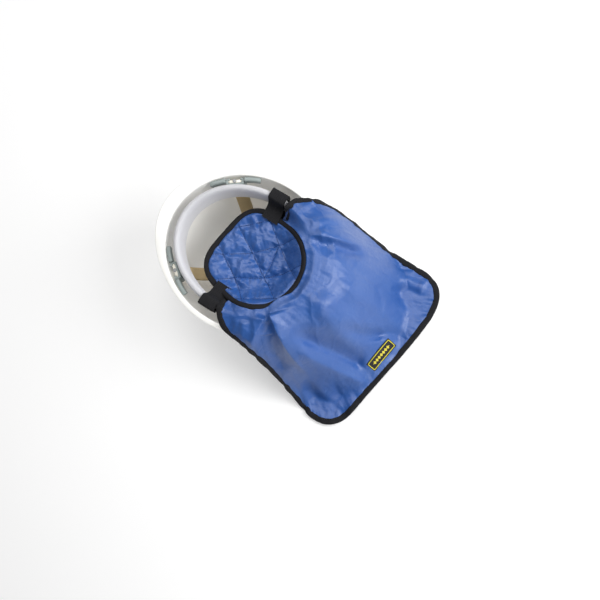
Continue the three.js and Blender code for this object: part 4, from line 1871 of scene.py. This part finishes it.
        across, along = np.meshgrid(
            np.linspace(-length / 2, length / 2, 90), np.linspace(-width / 2, width / 2, 30), indexing="ij"
        )
        soft = np.minimum(length / 2 - np.abs(across), width / 2 - np.abs(along))
        body = on_cloth(across, along, 0.9 + 0.35 * np.tanh(soft / 0.8))
        cut = np.stack([across, along], axis=-1)
        patch = Shape("shade_label")
        patch.slab(body, 1.0, cut, flip=self.faces_down(body))
        label = settle(patch.build([finishes.label]), Body.SKIRT, "label_black", "label_patch")
        corner = 1.6
        half = (length / 2 - 1.7, width / 2 - 1.7)
        ring = []
        for sx, sy, first in ((1, 1, 0), (-1, 1, 90), (-1, -1, 180), (1, -1, 270)):
            middle = np.array([sx * (half[0] - corner), sy * (half[1] - corner)])
            for angle in np.radians(np.linspace(first, first + 90, 6)):
                ring.append(middle + corner * np.array([math.cos(angle), math.sin(angle)]))
        ring.append(ring[0])
        loop = even(np.array(ring), 241)[:-1]
        path = on_cloth(loop[:, 0], loop[:, 1], np.full(240, 1.3))
        frame_shape = Shape("shade_label_border")
        frame_shape.tube(path, np.array([[0, 0, 1.0]] * 240), flat_oval(1.3, 0.7, 10, 2.6), True)
        border = settle(frame_shape.build([finishes.yellow]), Body.SKIRT, "label_yellow", "label_border")
        return [label, border]


# ---- straps ----


@dataclass
class SideStraps:
    """The webbing straps that hold the pad to the headband."""

    pad: CoolingPad
    band: Headband
    width: float = 26
    thickness: float = 1.6
    tab_length: float = 11.4
    ribs: int = 9

    def strip(
        self, name: str, path: list[tuple[float, float]], side: Side, width: float, thickness: float,
        finish: bpy.types.Material,
    ) -> bpy.types.Object:
        """A strip of webbing along a path beside the hat's centre line.

        Args:
            name: The piece's name.
            path: Places across and up that it goes through.
            side: Which side of the hat it is on.
            width: How wide it is.
            thickness: How thick it is.
            finish: Its finish.

        Returns:
            The strip.
        """
        line = curve_through(path, 90)
        columns = np.linspace(-0.5, 0.5, 57)
        share = np.linspace(0, 1, len(line))[:, None]
        pull = Grain(hash_of(name)).rough(share * 5 + 0 * columns, columns * 2 + 0 * share, 2)
        way = unit(np.gradient(line, axis=0))
        normal = np.stack([-way[:, 1], way[:, 0]], axis=1)
        ribbed = 0.22 * np.cos(columns[None, :] * 2 * math.pi * self.ribs)
        offset = 0.45 * pull + 0.3 * (1 - (2 * columns[None, :]) ** 2) + ribbed
        wide = columns[None, :] * width + 0.5 * Grain(9).at(share * 4, 0 * share)
        x = line[:, :1] + normal[:, :1] * offset
        z = line[:, 1:] + normal[:, 1:] * offset
        points = np.stack(np.broadcast_arrays(side.value * x, wide, z), axis=-1)
        cut = np.stack(np.broadcast_arrays(wide, run_along(line)[:, None]), axis=-1)
        shape = Shape(name)
        shape.slab(hat_to_row(points), thickness, cut, flip=side is Side.RIGHT)
        return shape.build([finish])

    def build(self, finishes: Finishes) -> None:
        """Makes both sides' straps and patches.

        Args:
            finishes: The finishes.
        """
        inner = self.band.half_width - self.band.brow_thickness
        outside = self.band.half_width + self.band.thickness + 0.6
        start = self.pad.half_width - 13
        low = float(self.pad.face(np.array(start), np.array(0.0)))
        top = self.band.top + 4.2
        patch = outside + self.thickness + 0.4
        tab = patch + 2 * 1.3
        for side, body in ((Side.LEFT, Body.LEFT_TAB), (Side.RIGHT, Body.RIGHT_TAB)):
            word = side.word
            over = self.strip(
                f"{word}_strap_over_band",
                [
                    (start, low + 4.2), (inner - 8, low + 6.6), (inner - 2.8, low + 15),
                    (inner - 0.6, top - 1.4), (inner + 3, top + 1.0), (tab - 4.5, top + 1.0),
                    (tab - 0.6, top + 0.2), (tab + 0.8, top - 2.6), (tab + 0.9, top - 8),
                    (tab + 0.9, top - 1.0 - self.tab_length),
                ],
                side, self.width, self.thickness, finishes.webbing,
            )
            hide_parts(f"{word}_over_strap", f"{word}_tab")
            corner = hat_to_row(np.array([side.value * (tab + 0.1), 0.0, self.band.top + 2.4])) * MM
            way = hat_to_row(np.array([side.value * 1.5, 0.0, -0.76])) * MM
            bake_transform(over)
            under = self.band.bottom - 2.9
            back = self.strip(
                f"{word}_strap_under_band",
                [
                    (start, low - 5.6), (inner - 5, low - 9.4), (inner - 1, under + 0.6), (inner + 4, under),
                    (outside - 3.4, under), (outside - 0.4, under + 1.2), (outside + 0.4, under + 5),
                    (outside + 0.4, self.band.top - 2),
                ],
                side, self.width, self.thickness, finishes.webbing,
            )
            settle(back, Body.HAT, "black_webbing", f"{word}_back_strap")
            loop = self.strip(
                f"{word}_loop_tape", [(patch, 119.6), (patch, 128), (patch, 136)], side,
                self.width - 2, 0.9, finishes.pile,
            )
            settle(loop, Body.HAT, "hook_and_loop", f"{word}_loop_patch")
            hook = self.strip(
                f"{word}_hook_tape", [(patch + 1.3, 130.4), (patch + 1.3, 134), (patch + 1.3, 138)], side,
                self.width - 2, 0.9, finishes.pile,
            )
            settle(hook, body, "hook_and_loop", f"{word}_hook_patch")


def hash_of(name: str) -> int:
    """A fixed number for a name, to seed its wrinkles."""
    return sum((i + 1) * ord(letter) for i, letter in enumerate(name)) % 997


# ---- carried-over pieces of the adjuster ----


@dataclass
class Adjuster:
    """The ratchet at the nape, shown as the frame has it, in finer plastics."""

    band_pieces: tuple[str, ...] = ("nape_housing", "ratchet_pinion", "band_tail_right", "band_tail_left")
    dark_pieces: tuple[str, ...] = ("ratchet_knob",)

    def build(self, finishes: Finishes) -> None:
        """Dresses the frame's pieces.

        Args:
            finishes: The finishes.
        """
        for names, finish in ((self.band_pieces, finishes.band), (self.dark_pieces, finishes.dark)):
            for name in names:
                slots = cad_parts[name].data.materials
                for i in range(len(slots)):
                    slots[i] = finish
                log.info("%s dressed in %s", name, finish.name)


# ---- studio ----


@dataclass
class Studio:
    """The pale floor, the soft lights and the camera."""

    azimuth: float = 6.53
    elevation: float = 76.84
    roll: float = -42.59
    distance: float = 951.9
    target: tuple[float, float, float] = (0.7, 88.7, 70)
    lens: float = 40

    def floor(self) -> None:
        """Lays the floor."""
        shape = Shape("floor")
        side = np.linspace(-6000, 6000, 5)
        x, y = np.meshgrid(side, side, indexing="ij")
        shape.grid(np.stack([x, y, np.full(x.shape, -0.6)], axis=-1), np.stack([x, y], axis=-1))
        shape.build([Surround("pale_floor", 0.66, 0.34).make()])

    def light(self, name: str, place: tuple, size: float, power: float, toward: tuple) -> None:
        """Hangs a soft light.

        Args:
            name: The light's name.
            place: Where it hangs, in metres.
            size: How wide it is.
            power: How bright it is.
            toward: What it points at.
        """
        lamp = bpy.data.lights.new(name, "AREA")
        lamp.shape, lamp.size, lamp.energy = "SQUARE", size, power
        held = bpy.data.objects.new(name, lamp)
        held.location = place
        held.rotation_euler = (Vector(toward) - Vector(place)).to_track_quat("-Z", "Y").to_euler()
        bpy.context.scene.collection.objects.link(held)

    def camera(self) -> None:
        """Sets the camera at its place, turned about its own axis."""
        az, el, roll = (math.radians(v) for v in (self.azimuth, self.elevation, self.roll))
        back = Vector((math.sin(az) * math.cos(el), math.cos(az) * math.cos(el), math.sin(el)))
        right = (-back).cross(Vector((0, 0, 1))).normalized()
        up = right.cross(-back)
        side = right * math.cos(roll) + up * math.sin(roll)
        top = up * math.cos(roll) - right * math.sin(roll)
        lens = bpy.data.cameras.new("camera")
        lens.lens, lens.sensor_width = self.lens, 36
        lens.clip_start, lens.clip_end = 0.01, 50
        held = bpy.data.objects.new("camera", lens)
        place = (Vector(self.target) + back * self.distance) * MM
        turned = Matrix((side, top, back)).transposed().to_4x4()
        held.matrix_world = Matrix.Translation(place) @ turned
        bpy.context.scene.collection.objects.link(held)
        bpy.context.scene.camera = held

    def build(self) -> None:
        """Sets up the floor, the light and the camera."""
        self.floor()
        middle = (0, 0.09, 0.06)
        self.light("key_light", (-0.8, 0.9, 0.95), 0.9, 19, middle)
        self.light("top_light", (-0.45, -0.3, 1.7), 0.9, 14, middle)
        self.light("fill_light", (0.2, 1.25, 0.75), 0.8, 5, middle)
        self.light("front_light", (-0.3, -1.1, 1.0), 0.8, 4, middle)
        world = bpy.data.worlds.new("studio")
        world.use_nodes = True
        world.node_tree.nodes["Background"].inputs["Color"].default_value = (1, 1, 1, 1)
        world.node_tree.nodes["Background"].inputs["Strength"].default_value = 0.14
        bpy.context.scene.world = world
        bpy.context.scene.view_settings.view_transform = "Standard"
        self.camera()


def main() -> None:
    """Builds the assembly in order: hat, pad, shade, straps, studio."""
    logging.basicConfig(level=logging.INFO, format="%(name)s: %(message)s")
    finishes = Finishes()
    shell = HatShell()
    band = Headband()
    pad = CoolingPad()
    shell.build(finishes)
    Suspension(shell).build(finishes)
    band.build(finishes)
    Adjuster().build(finishes)
    pad.build(finishes)
    NeckShade(pad, shell).build(finishes)
    SideStraps(pad, band).build(finishes)
    Studio().build()


if __name__ == "__main__":
    main()
